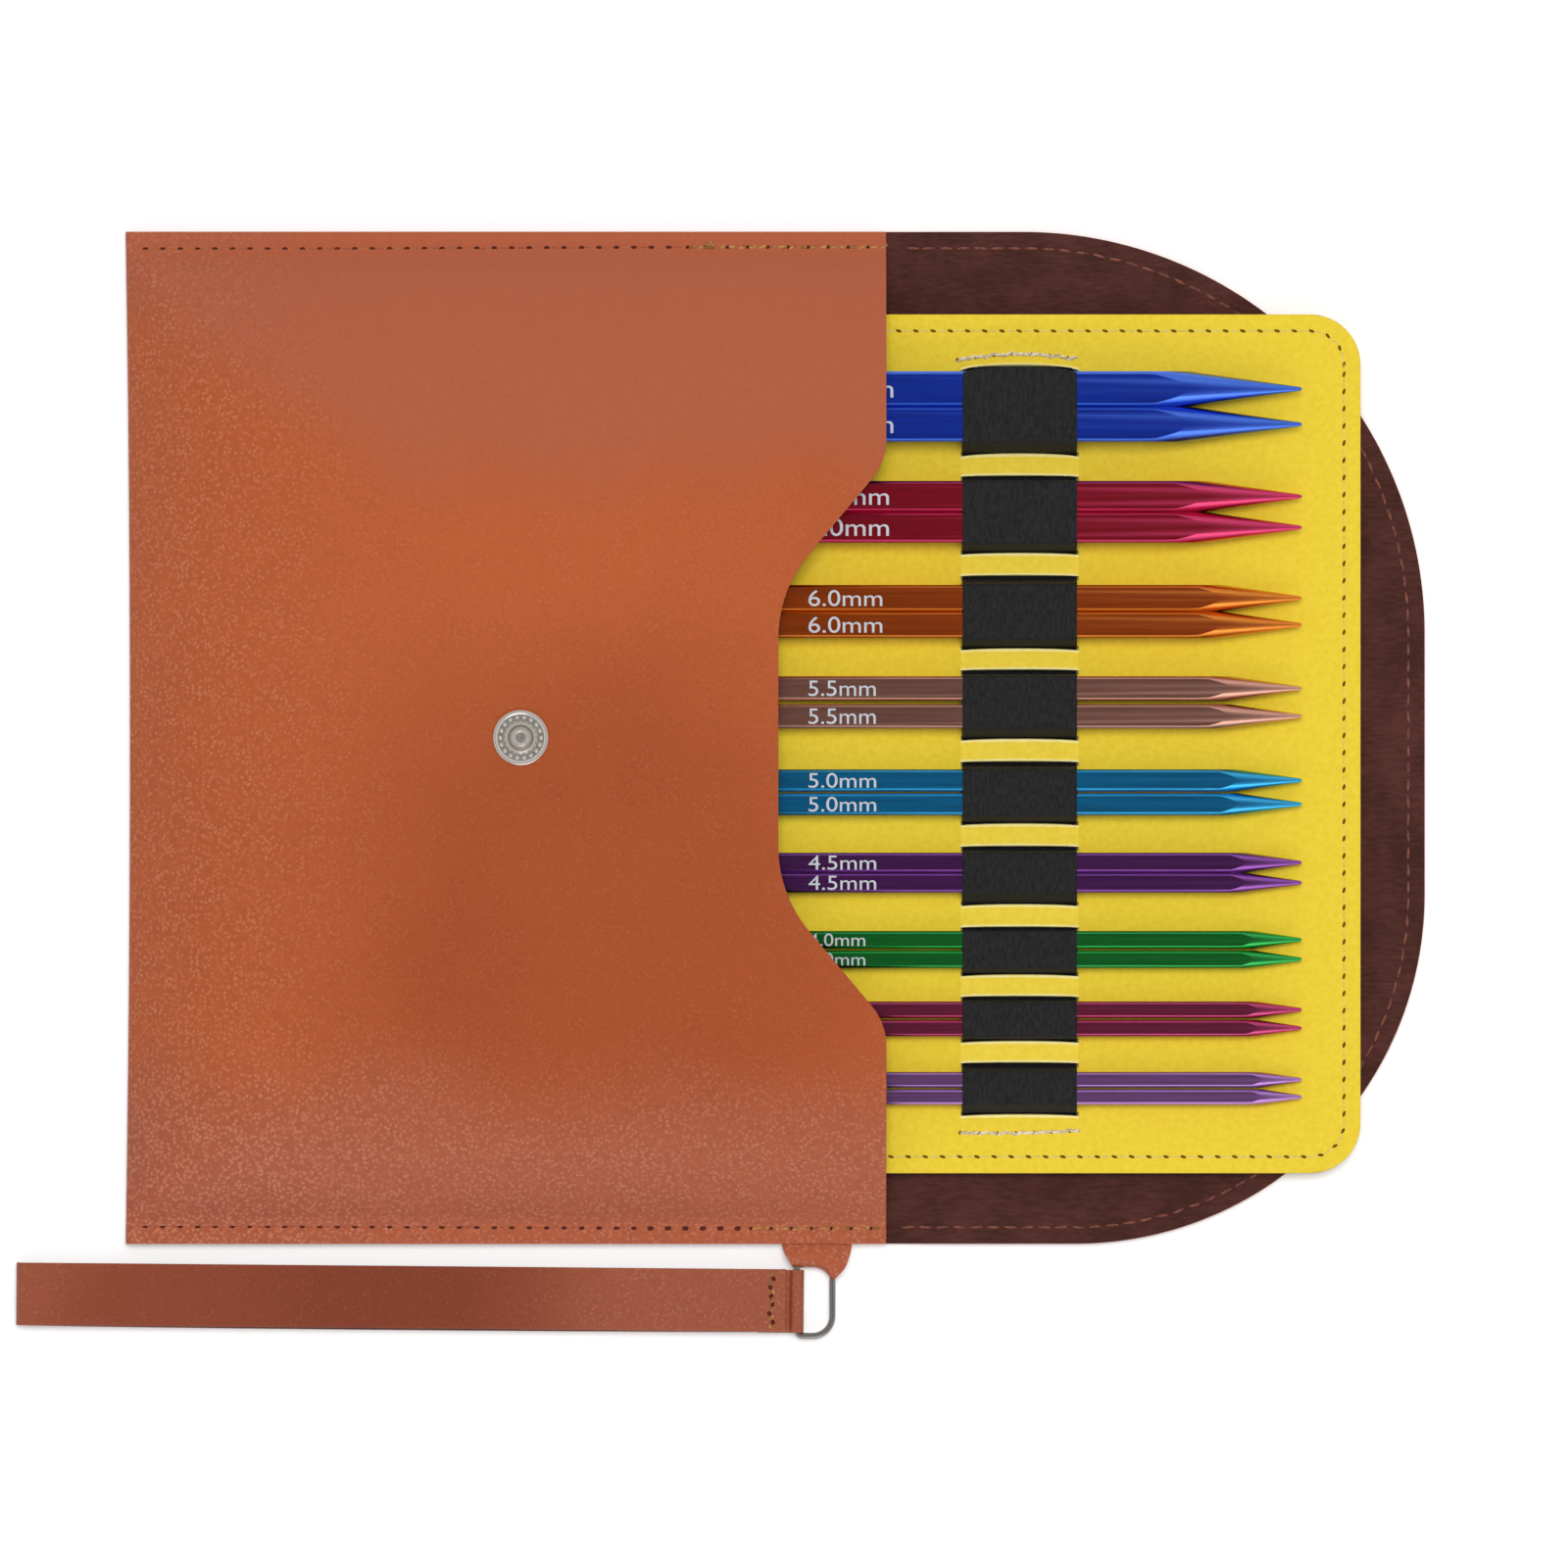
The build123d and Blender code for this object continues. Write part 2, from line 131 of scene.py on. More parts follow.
def soft_lamp(name, towards, energy, angle, in_gloss):
    """Sun lamp with a wide disc, seen or not seen in gloss."""
    data = bpy.data.lights.new(name, "SUN")
    data.energy = energy
    data.angle = math.radians(angle)
    lamp = bpy.data.objects.new(name, data)
    lamp.visible_glossy = in_gloss
    lamp.rotation_euler = Vector(towards).to_track_quat("Z", "Y").to_euler()
    scene.collection.objects.link(lamp)


soft_lamp("overhead lamp", (0.06, 0.2, 1), 1.76, 28, False)
soft_lamp("front soft box", (0.15, -0.82, 0.57), 0.4, 40, True)


def new_material(name):
    """Material with an empty node tree, its shader and its Object coordinates."""
    material = bpy.data.materials.new(name)
    material.use_nodes = True
    tree = material.node_tree
    tree.nodes.clear()
    shader = add_node(tree, "BsdfPrincipled")
    add_node(tree, "OutputMaterial", {"Surface": shader})
    place = add_node(tree, "TexCoord").outputs["Object"]
    return material, tree, shader, place


def added(name, add, **fields):
    """New object from one of Blender's own shapes, named and selected alone."""
    bpy.ops.object.select_all(action="DESELECT")
    add(**fields)
    bpy.context.object.name = name
    return bpy.context.object


floor = added("white_table", bpy.ops.mesh.primitive_plane_add, size=20,
              location=(0, 0, -0.05 * MM))
# matt laminate: white to the eye, with a faint haze that lifts its shadows, and a little
# greyer for the light that it throws back on the case
table, tree, shader, _ = new_material("matt white laminate table")
path, mirrored = mirrored_share(tree)
seen = add_node(tree, "Math", {
    0: path.outputs["Is Camera Ray"], 1: mirrored}, operation="MAXIMUM")
white = add_node(tree, "Mix", {0: seen, 6: linear("#DADADA"), 7: (1, 1, 1, 1)}, data_type="RGBA")
haze = add_node(tree, "MapRange", {"Value": path.outputs["Is Camera Ray"], "To Max": 0.13})
set_inputs(tree, shader, {
    "Base Color": white.outputs[2], "Emission Strength": haze, "Roughness": 0.95,
    "Specular IOR Level": 0.1})
floor.data.materials.append(table)
floor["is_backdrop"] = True

# Case leather: one sheet of tan pebbled faux leather, 1.2 mm thick. It starts at the flap's
# round end, runs under the case as its back, folds at the left edge and comes back as the
# domed front panel, which ends in the thumb notch. The two long sides are sewn together.
case_half, mouth_x = 116.0, 87.0
seam_top, crown_top, seam_inset = 3.2, 17.8, 3.8
upper_x, upper_y, upper_r = 118.5, 24, 92
lower_x, lower_y, lower_r = 130.5, -36, 80
notch_mid_y, notch_half, notch_angle, notch_depth = -1.1, 64.2, 40, 24.7
lip_start, lip_end, lip_r = 60.3, 69.3, 14
floor_start, floor_end, floor_r = 23.84, 43.1, 30
crown_r, level_half, shoulder_top, shoulder_r = 3803, 78, 17.0, 46.36
rear_start, rear_run, rear_r = -49.3, 37.1, 54.4
stud_x, round_from, fold_from = 3.4, 117, -84


def smooth_step(value):
    """Eased value from 0 to 1."""
    value = np.clip(value, 0, 1)
    return value * value * (3 - 2 * value)


def flap_end(y):
    """X of the flap's end, with its two round corners."""
    upper = upper_x + np.sqrt(upper_r ** 2 - np.clip(y - upper_y, 0, upper_r) ** 2)
    lower = lower_x + np.sqrt(lower_r ** 2 - np.clip(lower_y - y, 0, lower_r) ** 2)
    return np.minimum(upper, lower)


def mouth_edge(y):
    """X of the front panel's mouth, with the thumb notch cut into it."""
    run = np.abs(y - notch_mid_y)
    lip = lip_r - np.sqrt(lip_r ** 2 - np.clip(lip_end - run, 0, lip_end - lip_start) ** 2)
    slope = (notch_half - run) * math.tan(math.radians(notch_angle))
    curve = np.sqrt(floor_r ** 2 - np.clip(run - floor_start, 0, floor_end - floor_start) ** 2)
    depth = np.where(run > floor_end, slope, curve + notch_depth - floor_r)
    return mouth_x - np.where(run > lip_start, lip, depth)


def side_rise(y):
    """Share of the crown's height across the case: flat seams, round sides, level top."""
    run = np.abs(y)
    crown = crown_top - run ** 2 / (2 * crown_r)
    bend = np.sqrt(shoulder_r ** 2 - np.clip(run - level_half, 0, 40) ** 2)
    rise = np.where(run < level_half, crown, shoulder_top - shoulder_r + bend) - seam_top
    softened = np.maximum(rise, 0) + np.clip(2 - np.abs(rise), 0, 2) ** 2 / 8
    return softened / (crown_top - seam_top)


def front_height(x, y):
    """Height of the front panel's outer face."""
    height = crown_top - seam_top
    drop = np.clip(rear_start - x, 0, rear_run)
    along = (height - rear_r + np.sqrt(rear_r ** 2 - drop ** 2)) / height
    along = np.maximum(along, 1e-3)
    across = np.maximum(side_rise(y), 1e-3)
    share = (along ** -6 + across ** -6 - 1) ** (-1 / 6)
    ripple_share_and_dark_spot = share * smooth_step((np.hypot(x - stud_x, y) - 8) / 20)
    ripple = 0.16 * np.sin(x / 13 + 1.4 * np.sin(y / 27))
    ripple += 0.13 * np.sin(y / 10 + 1.9 * np.sin(x / 21))
    ripple += 0.07 * np.sin((x + y) / 6.3 + 1.3 * np.sin(y / 9))
    groove = 0.3 * np.exp(-((np.abs(y) - case_half + seam_inset) / 0.9) ** 2)
    return seam_top + height * share + (ripple - 0.25) * ripple_share_and_dark_spot - groove


across_rows = np.concatenate([
    lower_y - lower_r * np.sin(np.radians(np.linspace(90, 0, 56))),
    np.linspace(lower_y, upper_y, 31)[1:-1],
    upper_y + upper_r * np.sin(np.radians(np.linspace(0, 90, 61))),
])


def case_layer(trim):
    """Outer face of the folded sheet: rows run across the case, columns from flap to notch."""
    y = across_rows * (1 - trim / case_half)
    far = flap_end(across_rows) - trim
    near = mouth_edge(y) - trim
    firm = smooth_step(side_rise(y) * 4)
    fold_r = 1.6 + 0.25 * firm
    fold_x = -mouth_x + fold_r
    lean = np.radians(90 + 43 * firm)
    columns = []
    for share in np.linspace(1, 0, 46):
        columns.append((round_from + (far - round_from) * share, None))
    flap_xs, back_xs = np.linspace(round_from, mouth_x, 21), np.linspace(mouth_x, fold_from, 30)
    for x in [*flap_xs[1:], *back_xs[1:]]:
        columns.append((np.full_like(y, x), None))
    for share in np.linspace(0, 1, 11):
        turn = math.radians(-90) - (math.radians(270) - lean) * share
        columns.append((fold_x + fold_r * np.cos(turn), fold_r + fold_r * np.sin(turn)))
    start_x, start_z = columns[-1]
    stops = np.concatenate([np.linspace(0, 0.3, 24)[1:], np.linspace(0.3, 1, 48)[1:]])
    for share in stops:
        x = start_x + (near - start_x) * share
        lift = (start_z - seam_top) * np.exp(-(x - start_x) / 3)
        columns.append((x, front_height(x, y) + lift))
    faces = []
    for x, z in columns:
        if z is None:
            z = 0.6 * smooth_step((x - 90.3) / 10)
        bow = (1 - (y / case_half) ** 2) - 0.35
        x = x + bow * smooth_step((-30 - x) / 55)
        faces.append(np.stack([x, y, z], axis=1))
    return np.stack(faces, axis=1)


def put_corners(piece, corners):
    """Move a mesh's corners to their places in millimetres."""
    piece.data.vertices.foreach_set("co", (corners * MM).reshape(-1))
    piece.data.update()


def grid_piece(name, corners, flip=False):
    """Grid of faces whose corners are put in place row by row."""
    rows, columns = corners.shape[:2]
    piece = added(name, bpy.ops.mesh.primitive_grid_add, x_subdivisions=columns - 1,
                  y_subdivisions=rows - 1)
    if flip:
        piece.data.flip_normals()
    put_corners(piece, corners)
    return piece


def pick(piece):
    """Select one piece alone."""
    bpy.ops.object.select_all(action="DESELECT")
    bpy.context.view_layer.objects.active = piece
    piece.select_set(True)


def modify(piece, kind, **fields):
    """Add a modifier and apply it."""
    modifier = piece.modifiers.new(kind, kind)
    for field, value in fields.items():
        setattr(modifier, field, value)
    pick(piece)
    bpy.ops.object.modifier_apply(modifier=modifier.name)


def smooth(piece, angle=40):
    """Smooth shading that keeps the sharp edges."""
    pick(piece)
    bpy.ops.object.shade_smooth_by_angle(angle=math.radians(angle))


def thicken(piece, thick, edge=0.0):
    """Give a sheet its thickness, inwards, and round its cut edges."""
    modify(piece, "SOLIDIFY", thickness=thick * MM, offset=-1)
    if edge:
        modify(piece, "BEVEL", width=edge * MM, segments=2, limit_method="ANGLE",
               angle_limit=math.radians(60))
    smooth(piece)


def leather(name, deep, warm, pale, ripple_share_and_dark_spot, zones, grain_mm, grain_depth, roughness):
    """Embossed faux leather: darker round a spot, as painted shade on the case's dome, paler in
    zones, as painted sheen on its slopes, and pebbles with painted highlights.
    """
    material, tree, shader, place = new_material(name)
    dark_spot_x, dark_spot_y, near, far = ripple_share_and_dark_spot
    # towards the dark spot the colour turns from the warm tone to the deep one: on the case this is
    # painted shade on the middle of the dome, on the strap it darkens the middle of the strap; the
    # noise drift on top is random tone
    away = add_node(tree, "VectorMath", {
        0: place, 1: (dark_spot_x * MM, dark_spot_y * MM, 15 * MM)}, operation="DISTANCE")
    spread = add_node(tree, "MapRange", {
        "Value": away.outputs["Value"], "From Min": near * MM, "From Max": far * MM,
        "To Min": 0.1, "To Max": 0.9}, interpolation_type="SMOOTHSTEP")
    drift = add_node(tree, "TexNoise", {"Vector": place, "Scale": 20, "Detail": 3})
    drifted = add_node(tree, "Math", {0: drift, 1: 0.8, 2: -0.4}, operation="MULTIPLY_ADD")
    tone = add_node(tree, "Math", {0: drifted, 1: spread}, use_clamp=True)
    body_colour = add_node(tree, "Mix", {
        0: tone, 6: linear(deep), 7: linear(warm)}, data_type="RGBA")
    axes = add_node(tree, "SeparateXYZ", {0: place})
    wander = add_node(tree, "TexNoise", {"Vector": place, "Scale": 22, "Detail": 2})
    corner = add_node(tree, "Math", {
        0: axes.outputs["X"], 1: 0.6, 2: 0.016}, operation="MULTIPLY_ADD")
    corner = add_node(tree, "Math", {0: corner, 1: 0}, operation="MINIMUM")
    bent = add_node(tree, "Math", {0: corner, 1: axes.outputs["Y"]})
    runs = {"across": axes.outputs["Y"], "bent": bent, "along": axes.outputs["X"]}
    # paler in zones: each zone mixes in the pale colour and sets how strongly the pebble highlights
    # show; on the case the pale zones are painted sheen on the top and bottom slopes and towards
    # the fold
    paleness, pebbled = 0.0, 0.4
    for run, start, end, pale_share, pebble_share in zones:
        drawn = add_node(tree, "Math", {
            0: wander, 1: 0.03, 2: runs[run]}, operation="MULTIPLY_ADD")
        zone = add_node(tree, "MapRange", {
            "Value": drawn, "From Min": start * MM, "From Max": end * MM},
            interpolation_type="SMOOTHSTEP")
        paleness = add_node(tree, "Math", {
            0: zone, 1: pale_share, 2: paleness}, operation="MULTIPLY_ADD")
        pebbled = add_node(tree, "Math", {
            0: zone, 1: pebble_share, 2: pebbled}, operation="MULTIPLY_ADD")
    paled_colour = add_node(tree, "Mix", {
        0: paleness, 6: body_colour.outputs[2], 7: linear(pale)}, data_type="RGBA")
    # painted highlight on the pebble tops, which turn lighter and pinker, and painted shade that
    # darkens the leather between them, in patches and zones; the speckle noise is random tone, and
    # the bump is the real relief
    cells = add_node(tree, "TexVoronoi", {
        "Vector": place, "Scale": 1 / (grain_mm * MM), "Randomness": 1.0})
    tops = add_node(tree, "MapRange", {
        "Value": cells.outputs["Distance"], "From Min": 0.05, "From Max": 0.7,
        "To Min": 1, "To Max": 0}, interpolation_type="SMOOTHSTEP")
    speck_patch_noise = add_node(tree, "TexNoise", {
        "Vector": place, "Scale": 0.25 / (grain_mm * MM), "Detail": 3})
    patches = add_node(tree, "MapRange", {
        "Value": speck_patch_noise, "From Min": 0.35, "From Max": 0.65, "To Min": 0.5})
    strong = add_node(tree, "Math", {
        0: patches, 1: pebbled}, operation="MULTIPLY", use_clamp=True)
    shown = add_node(tree, "Math", {0: tops, 1: strong}, operation="MULTIPLY")
    sunk = add_node(tree, "Math", {0: strong, 1: -0.14, 2: 1}, operation="MULTIPLY_ADD")
    gain = add_node(tree, "Math", {0: shown, 1: 0.25, 2: sunk}, operation="MULTIPLY_ADD")
    speckle = add_node(tree, "TexNoise", {
        "Vector": place, "Scale": 2.2 / (grain_mm * MM), "Detail": 2})
    speck_gain = add_node(tree, "MapRange", {
        "Value": speckle, "From Min": 0.3, "From Max": 0.7,
        "To Min": 0.94, "To Max": 1.06})
    both = add_node(tree, "Math", {0: gain, 1: speck_gain}, operation="MULTIPLY")
    lit = add_node(tree, "VectorMath", {0: paled_colour.outputs[2], "Scale": both}, operation="SCALE")
    speck = add_node(tree, "MapRange", {
        "Value": shown, "From Min": 0.2, "From Max": 0.9, "To Max": 0.36})
    specked = add_node(tree, "Mix", {0: speck, 6: lit, 7: linear("#D29478")}, data_type="RGBA")
    height = add_node(tree, "Math", {0: shown, 1: speckle}, operation="ADD")
    relief = add_node(tree, "Bump", {
        "Height": height, "Strength": 0.6, "Distance": grain_depth * MM})
    gloss = add_node(tree, "MapRange", {
        "Value": shown, "To Min": roughness + 0.06, "To Max": roughness - 0.08})
    set_inputs(tree, shader, {
        "Base Color": specked.outputs[2], "Normal": relief, "Roughness": gloss,
        "Specular IOR Level": 0.45})
    return material


def place_piece(piece, material, body=None, replaced=()):
    """Give a finished piece its material and body, and hide the nodes it stands for."""
    if not piece.data.materials:
        piece.data.materials.append(material)
    if body:
        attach(piece, body)
    if replaced:
        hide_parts(*replaced)


# case zones (run, start, end, pale share, pebble share): painted sheen on the top slope, the bottom
# slope and a little towards the fold; the dark spot at (26, -50) mm is painted shade on the middle
# of the dome
case_zones = [("bent", 65, 90, 0.85, -0.25), ("across", -50, -80, 0.84, 0.5),
              ("along", 0, -66, 0.1, 0.55)]
case_leather = leather("embossed tan polyurethane leather", "#A2481E", "#B95A2C", "#AF5B3C",
                       (26, -50, 36, 92), case_zones, 0.95, 0.08, 0.5)
case_sheet = grid_piece("case_sheet", case_layer(0))
thicken(case_sheet, 1.2, edge=0.3)
place_piece(case_sheet, case_leather,
            replaced=("front_panel", "back_panel", "flap_leather"))
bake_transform(case_sheet)


# Lining: dark brown napped cloth glued to the whole inner face of the leather. Its fine
# lengthwise grain and a few lighter fibres show on the open flap.
def napped_cloth(name, dark, light):
    """Napped cloth with streaks of fibres along the case."""
    material, tree, shader, place = new_material(name)
    along = add_node(tree, "Mapping", {"Vector": place, "Scale": (0.25, 1, 1)})
    grain = add_node(tree, "TexNoise", {"Vector": along, "Scale": 1500, "Detail": 3})
    cloud = add_node(tree, "TexNoise", {"Vector": place, "Scale": 90, "Detail": 4})
    blend = add_node(tree, "Math", {0: grain, 1: cloud}, operation="ADD")
    share = add_node(tree, "MapRange", {"Value": blend, "From Min": 0.75, "From Max": 1.25})
    colour = add_node(tree, "Mix", {
        0: share, 6: linear(dark), 7: linear(light)}, data_type="RGBA")
    relief = add_node(tree, "Bump", {"Height": grain, "Strength": 0.5, "Distance": 0.08 * MM})
    set_inputs(tree, shader, {
        "Base Color": colour.outputs[2], "Normal": relief, "Roughness": 0.9,
        "Specular IOR Level": 0.25, "Sheen Weight": 0.15})
    return material


def sink(piece, depth):
    """Move a sheet inwards along its own normals."""
    normals = np.array([n.vector[:] for n in piece.data.vertex_normals])
    corners = np.array([v.co[:] for v in piece.data.vertices])
    put_corners(piece, corners / MM - normals * depth)


lining_cloth = napped_cloth("dark brown napped lining cloth", "#3E201B", "#552F29")
case_lining = grid_piece("case_lining", case_layer(0.08))
sink(case_lining, 1.2)
thicken(case_lining, 0.4)
place_piece(case_lining, lining_cloth,
            replaced=("front_lining", "back_lining", "flap_lining"))
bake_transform(case_lining)


# Snap fastener: pressed nickel-plated brass. The stud with its ring of beads is riveted to
# the front panel, the cap and socket sit at the flap's end, and all are turned shapes.
def turned(name, outline, at, axis="Z", steps=64):
    """Shape spun from its outline of radius and height points about an axis."""
    piece = added(name, bpy.ops.mesh.primitive_circle_add, vertices=len(outline), radius=1)
    for corner, (radius, height) in zip(piece.data.vertices, outline):
        corner.co = (radius * MM, 0, height * MM) if axis == "Z" else (height * MM, radius * MM, 0)
    bpy.ops.object.mode_set(mode="EDIT")
    bpy.ops.mesh.select_all(action="SELECT")
    bpy.ops.mesh.spin(steps=steps, angle=math.tau, center=(0, 0, 0),
                      axis=(0, 0, 1) if axis == "Z" else (1, 0, 0))
    bpy.ops.mesh.select_all(action="SELECT")
    bpy.ops.mesh.remove_doubles(threshold=0.001 * MM)
    bpy.ops.mesh.dissolve_degenerate(threshold=0.001 * MM)
    bpy.ops.mesh.normals_make_consistent(inside=False)
    bpy.ops.object.mode_set(mode="OBJECT")
    piece.data.transform(Matrix.Translation(Vector(at) * MM))
    smooth(piece, 30)
    return piece


def arc(mid_r, mid_z, radius, start, end, steps=6):
    """Points of an arc in an outline, by its angles in degrees."""
    turns = [math.radians(start + (end - start) * i / steps) for i in range(steps + 1)]
    return [(mid_r + radius * math.cos(t), mid_z + radius * math.sin(t)) for t in turns]


def metal(name, colour, scale, detail, smoothest, roughest):
    """Plated or drawn metal, whose gloss varies with fine scuffs."""
    material, tree, shader, place = new_material(name)
    scuffs = add_node(tree, "TexNoise", {"Vector": place, "Scale": scale, "Detail": detail})
    gloss = add_node(tree, "MapRange", {"Value": scuffs, "To Min": smoothest, "To Max": roughest})
    set_inputs(tree, shader, {"Roughness": gloss, "Base Color": linear(colour), "Metallic": 1})
    return material


nickel = metal("nickel plated pressed brass", "#D8D2CA", 900, 4, 0.16, 0.36)

stud_outline = [(0, -2.1), (1.4, -2.1), (1.4, 0), (6.0, 0)]
stud_outline += arc(6.0, 0.35, 0.35, -90, 110)
stud_outline += [(5.55, 0.58), (5.3, 0.42), (3.85, 0.42), (3.6, 0.62)]
stud_outline += arc(3.1, 0.72, 0.4, 10, 120, 6) + [(2.4, 0.7), (1.7, 0.8), (1.5, 1.2)]
stud_outline += arc(1.62, 2.02, 0.48, -50, 150, 12) + [(1.1, 2.15), (0, 2.12)]
stud = turned("stud", stud_outline, (stud_x, 0, crown_top))
place_piece(stud, nickel, "pouch", ("snap_stud",))


def repeat(name, model, places):
    """One mesh with a copy of the model at every place."""
    corners = np.array([list(v.co) + [1] for v in model.data.vertices])
    faces = [list(f.vertices) for f in model.data.polygons]
    bpy.data.objects.remove(model)
    every, all_faces = [], []
    for index, spot in enumerate(places):
        every.append((corners @ np.array(spot).T)[:, :3])
        all_faces += [[v + index * len(corners) for v in face] for face in faces]
    mesh = bpy.data.meshes.new(name)
    mesh.from_pydata(np.concatenate(every).tolist(), [], all_faces)
    mesh.polygons.foreach_set("use_smooth", [True] * len(all_faces))
    piece = bpy.data.objects.new(name, mesh)
    scene.collection.objects.link(piece)
    return piece


def ball(segments, rings):
    """Unit ball to be stretched into beads, stitches and holes."""
    return added("ball", bpy.ops.mesh.primitive_uv_sphere_add, segments=segments,
                 ring_count=rings, radius=1)


bead_count, bead_ring_r, bead_r = 18, 4.65, 0.5
beads = []
for step in range(bead_count):
    turn = math.tau * step / bead_count
    spot = Vector((stud_x + bead_ring_r * math.cos(turn), bead_ring_r * math.sin(turn),
                   crown_top + 0.45))
    size = Vector((bead_r, bead_r, 0.7 * bead_r)) * MM
    beads.append(Matrix.Translation(spot * MM) @ Matrix.Diagonal((*size, 1)))
stud_beads = repeat("stud_beads", ball(12, 8), beads)
place_piece(stud_beads, nickel, "pouch")

backing = turned("stud_backing", [(1.4, -0.5), (4.4, -0.5)] + arc(4.4, -0.3, 0.2, -90, 60, 4)
                 + [(4.3, 0), (1.4, 0)], (stud_x, 0, 16.19))
place_piece(backing, nickel, "pouch", ("snap_backing",))

cap_x = 184.0
cap_outline = [(0, 0.12), (3.4, 0.06), (5.6, 0.0)] + arc(5.75, 0.6, 0.6, -80, 20)
cap_outline += [(6.2, 1.0), (3.4, 1.0), (3.4, 2.3), (2.2, 2.3), (2.2, 0.4), (0, 0.4)]
cap = turned("snap_button", cap_outline, (cap_x, 0, 0))
place_piece(cap, nickel, "flap", ("snap_cap",))

socket_outline = [(3.45, 0), (5.9, 0)] + arc(5.6, 0.35, 0.4, -40, 100)
socket_outline += [(5.2, 0.62), (4.7, 0.62)] + arc(4.1, 0.75, 0.5, 30, 100, 5)
socket_outline += [(3.2, 1.2)] + arc(2.3, 0.95, 0.25, 90, 180, 4) + [(3.45, 0.95)]
socket = turned("snap_catch", socket_outline, (cap_x, 0, 1.9))
place_piece(socket, nickel, "flap", ("snap_socket",))

# Spring ring in the socket: a split ring of bright wire that grips the stud's neck. The
# CAD node has its shape, so it only gets its steel.
spring_steel = metal("bright drawn spring steel", "#B8B8B8", 2500, 2, 0.25, 0.4)


def dress(node, material):
    """Give a CAD node that stays its material."""
    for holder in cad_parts[node].material_slots:
        holder.material = material


dress("snap_spring", spring_steel)

# Insert board: yellow faux leather on both sides of a stiff card, with a shallow groove
# where it is sewn. Eighteen slits let the band through, and the band under them lifts the
# strips between its loops, so their cut edges stand up and catch the light.
board_mid_y, board_half_y, board_corner = -1.4, 98.4, 11.5
board_left, board_right, board_bottom, board_top = 30.7, 195.7, 3.4, 6.0
skin_thick, groove_depth = 0.7, 0.14
band_left, band_right = 104.6, 130.6
slit_left, slit_right = band_left - 0.5, band_right + 0.5
band_half = 0.3
# each pair's name, gauge, middle y, gap, and its loop's top and foot
pairs = [
    ("8_0", 8.0, 75.8, 0.1, 84.0, 64.6), ("7_0", 7.0, 51.7, 0.1, 59.6, 42.1),
    ("6_0", 6.0, 28.9, 0.1, 36.8, 20.2), ("5_5", 5.5, 8.1, 0.9, 15.2, -0.5),
    ("5_0", 5.0, -12.5, 0.45, -5.8, -19.9), ("4_5", 4.5, -30.9, 0.1, -25.2, -38.4),
    ("4_0", 4.0, -48.5, 0.45, -43.7, -54.5), ("3_75", 3.75, -64.4, 0.45, -59.6, -69.7),
    ("3_5", 3.5, -80.3, 0.45, -74.8, -86.5),
]
top_bow, foot_bow, small_bow = 1.5, -0.6, 0.3
slits = []
for *_, loop_top, loop_foot in pairs:
    slits += [(loop_top - band_half, 1, small_bow), (loop_foot + band_half, -1, -small_bow)]
slits[0] = (slits[0][0], 1, top_bow)
slits[1] = (slits[1][0], -1, foot_bow)


def board_rows():
    """Rows across the board: close at the corners and at the slits' edges."""
    fixed = [s + e for s, *_ in slits for e in (-0.5, 0.5)]
    loose = [s + side * e for s, side, _ in slits for e in (1.0, 1.6, 2.4)]
    bends = [board_half_y - board_corner + board_corner * math.sin(math.radians(a))
             for a in range(0, 91, 9)]
    for edge in bends + [board_half_y - e for e in (1.2, 2.6, 3.3, 3.8, 4.3, 5.0)]:
        loose += [board_mid_y + edge, board_mid_y - edge]
    loose += list(np.arange(-96, 96, 2.5))
    rows = fixed + [board_mid_y + board_half_y, board_mid_y - board_half_y]
    for row in loose:
        inside = any(abs(row - s) < 0.75 for s, *_ in slits)
        if not inside and min(abs(row - other) for other in rows) > 0.25:
            rows.append(row)
    return np.array(sorted(rows))


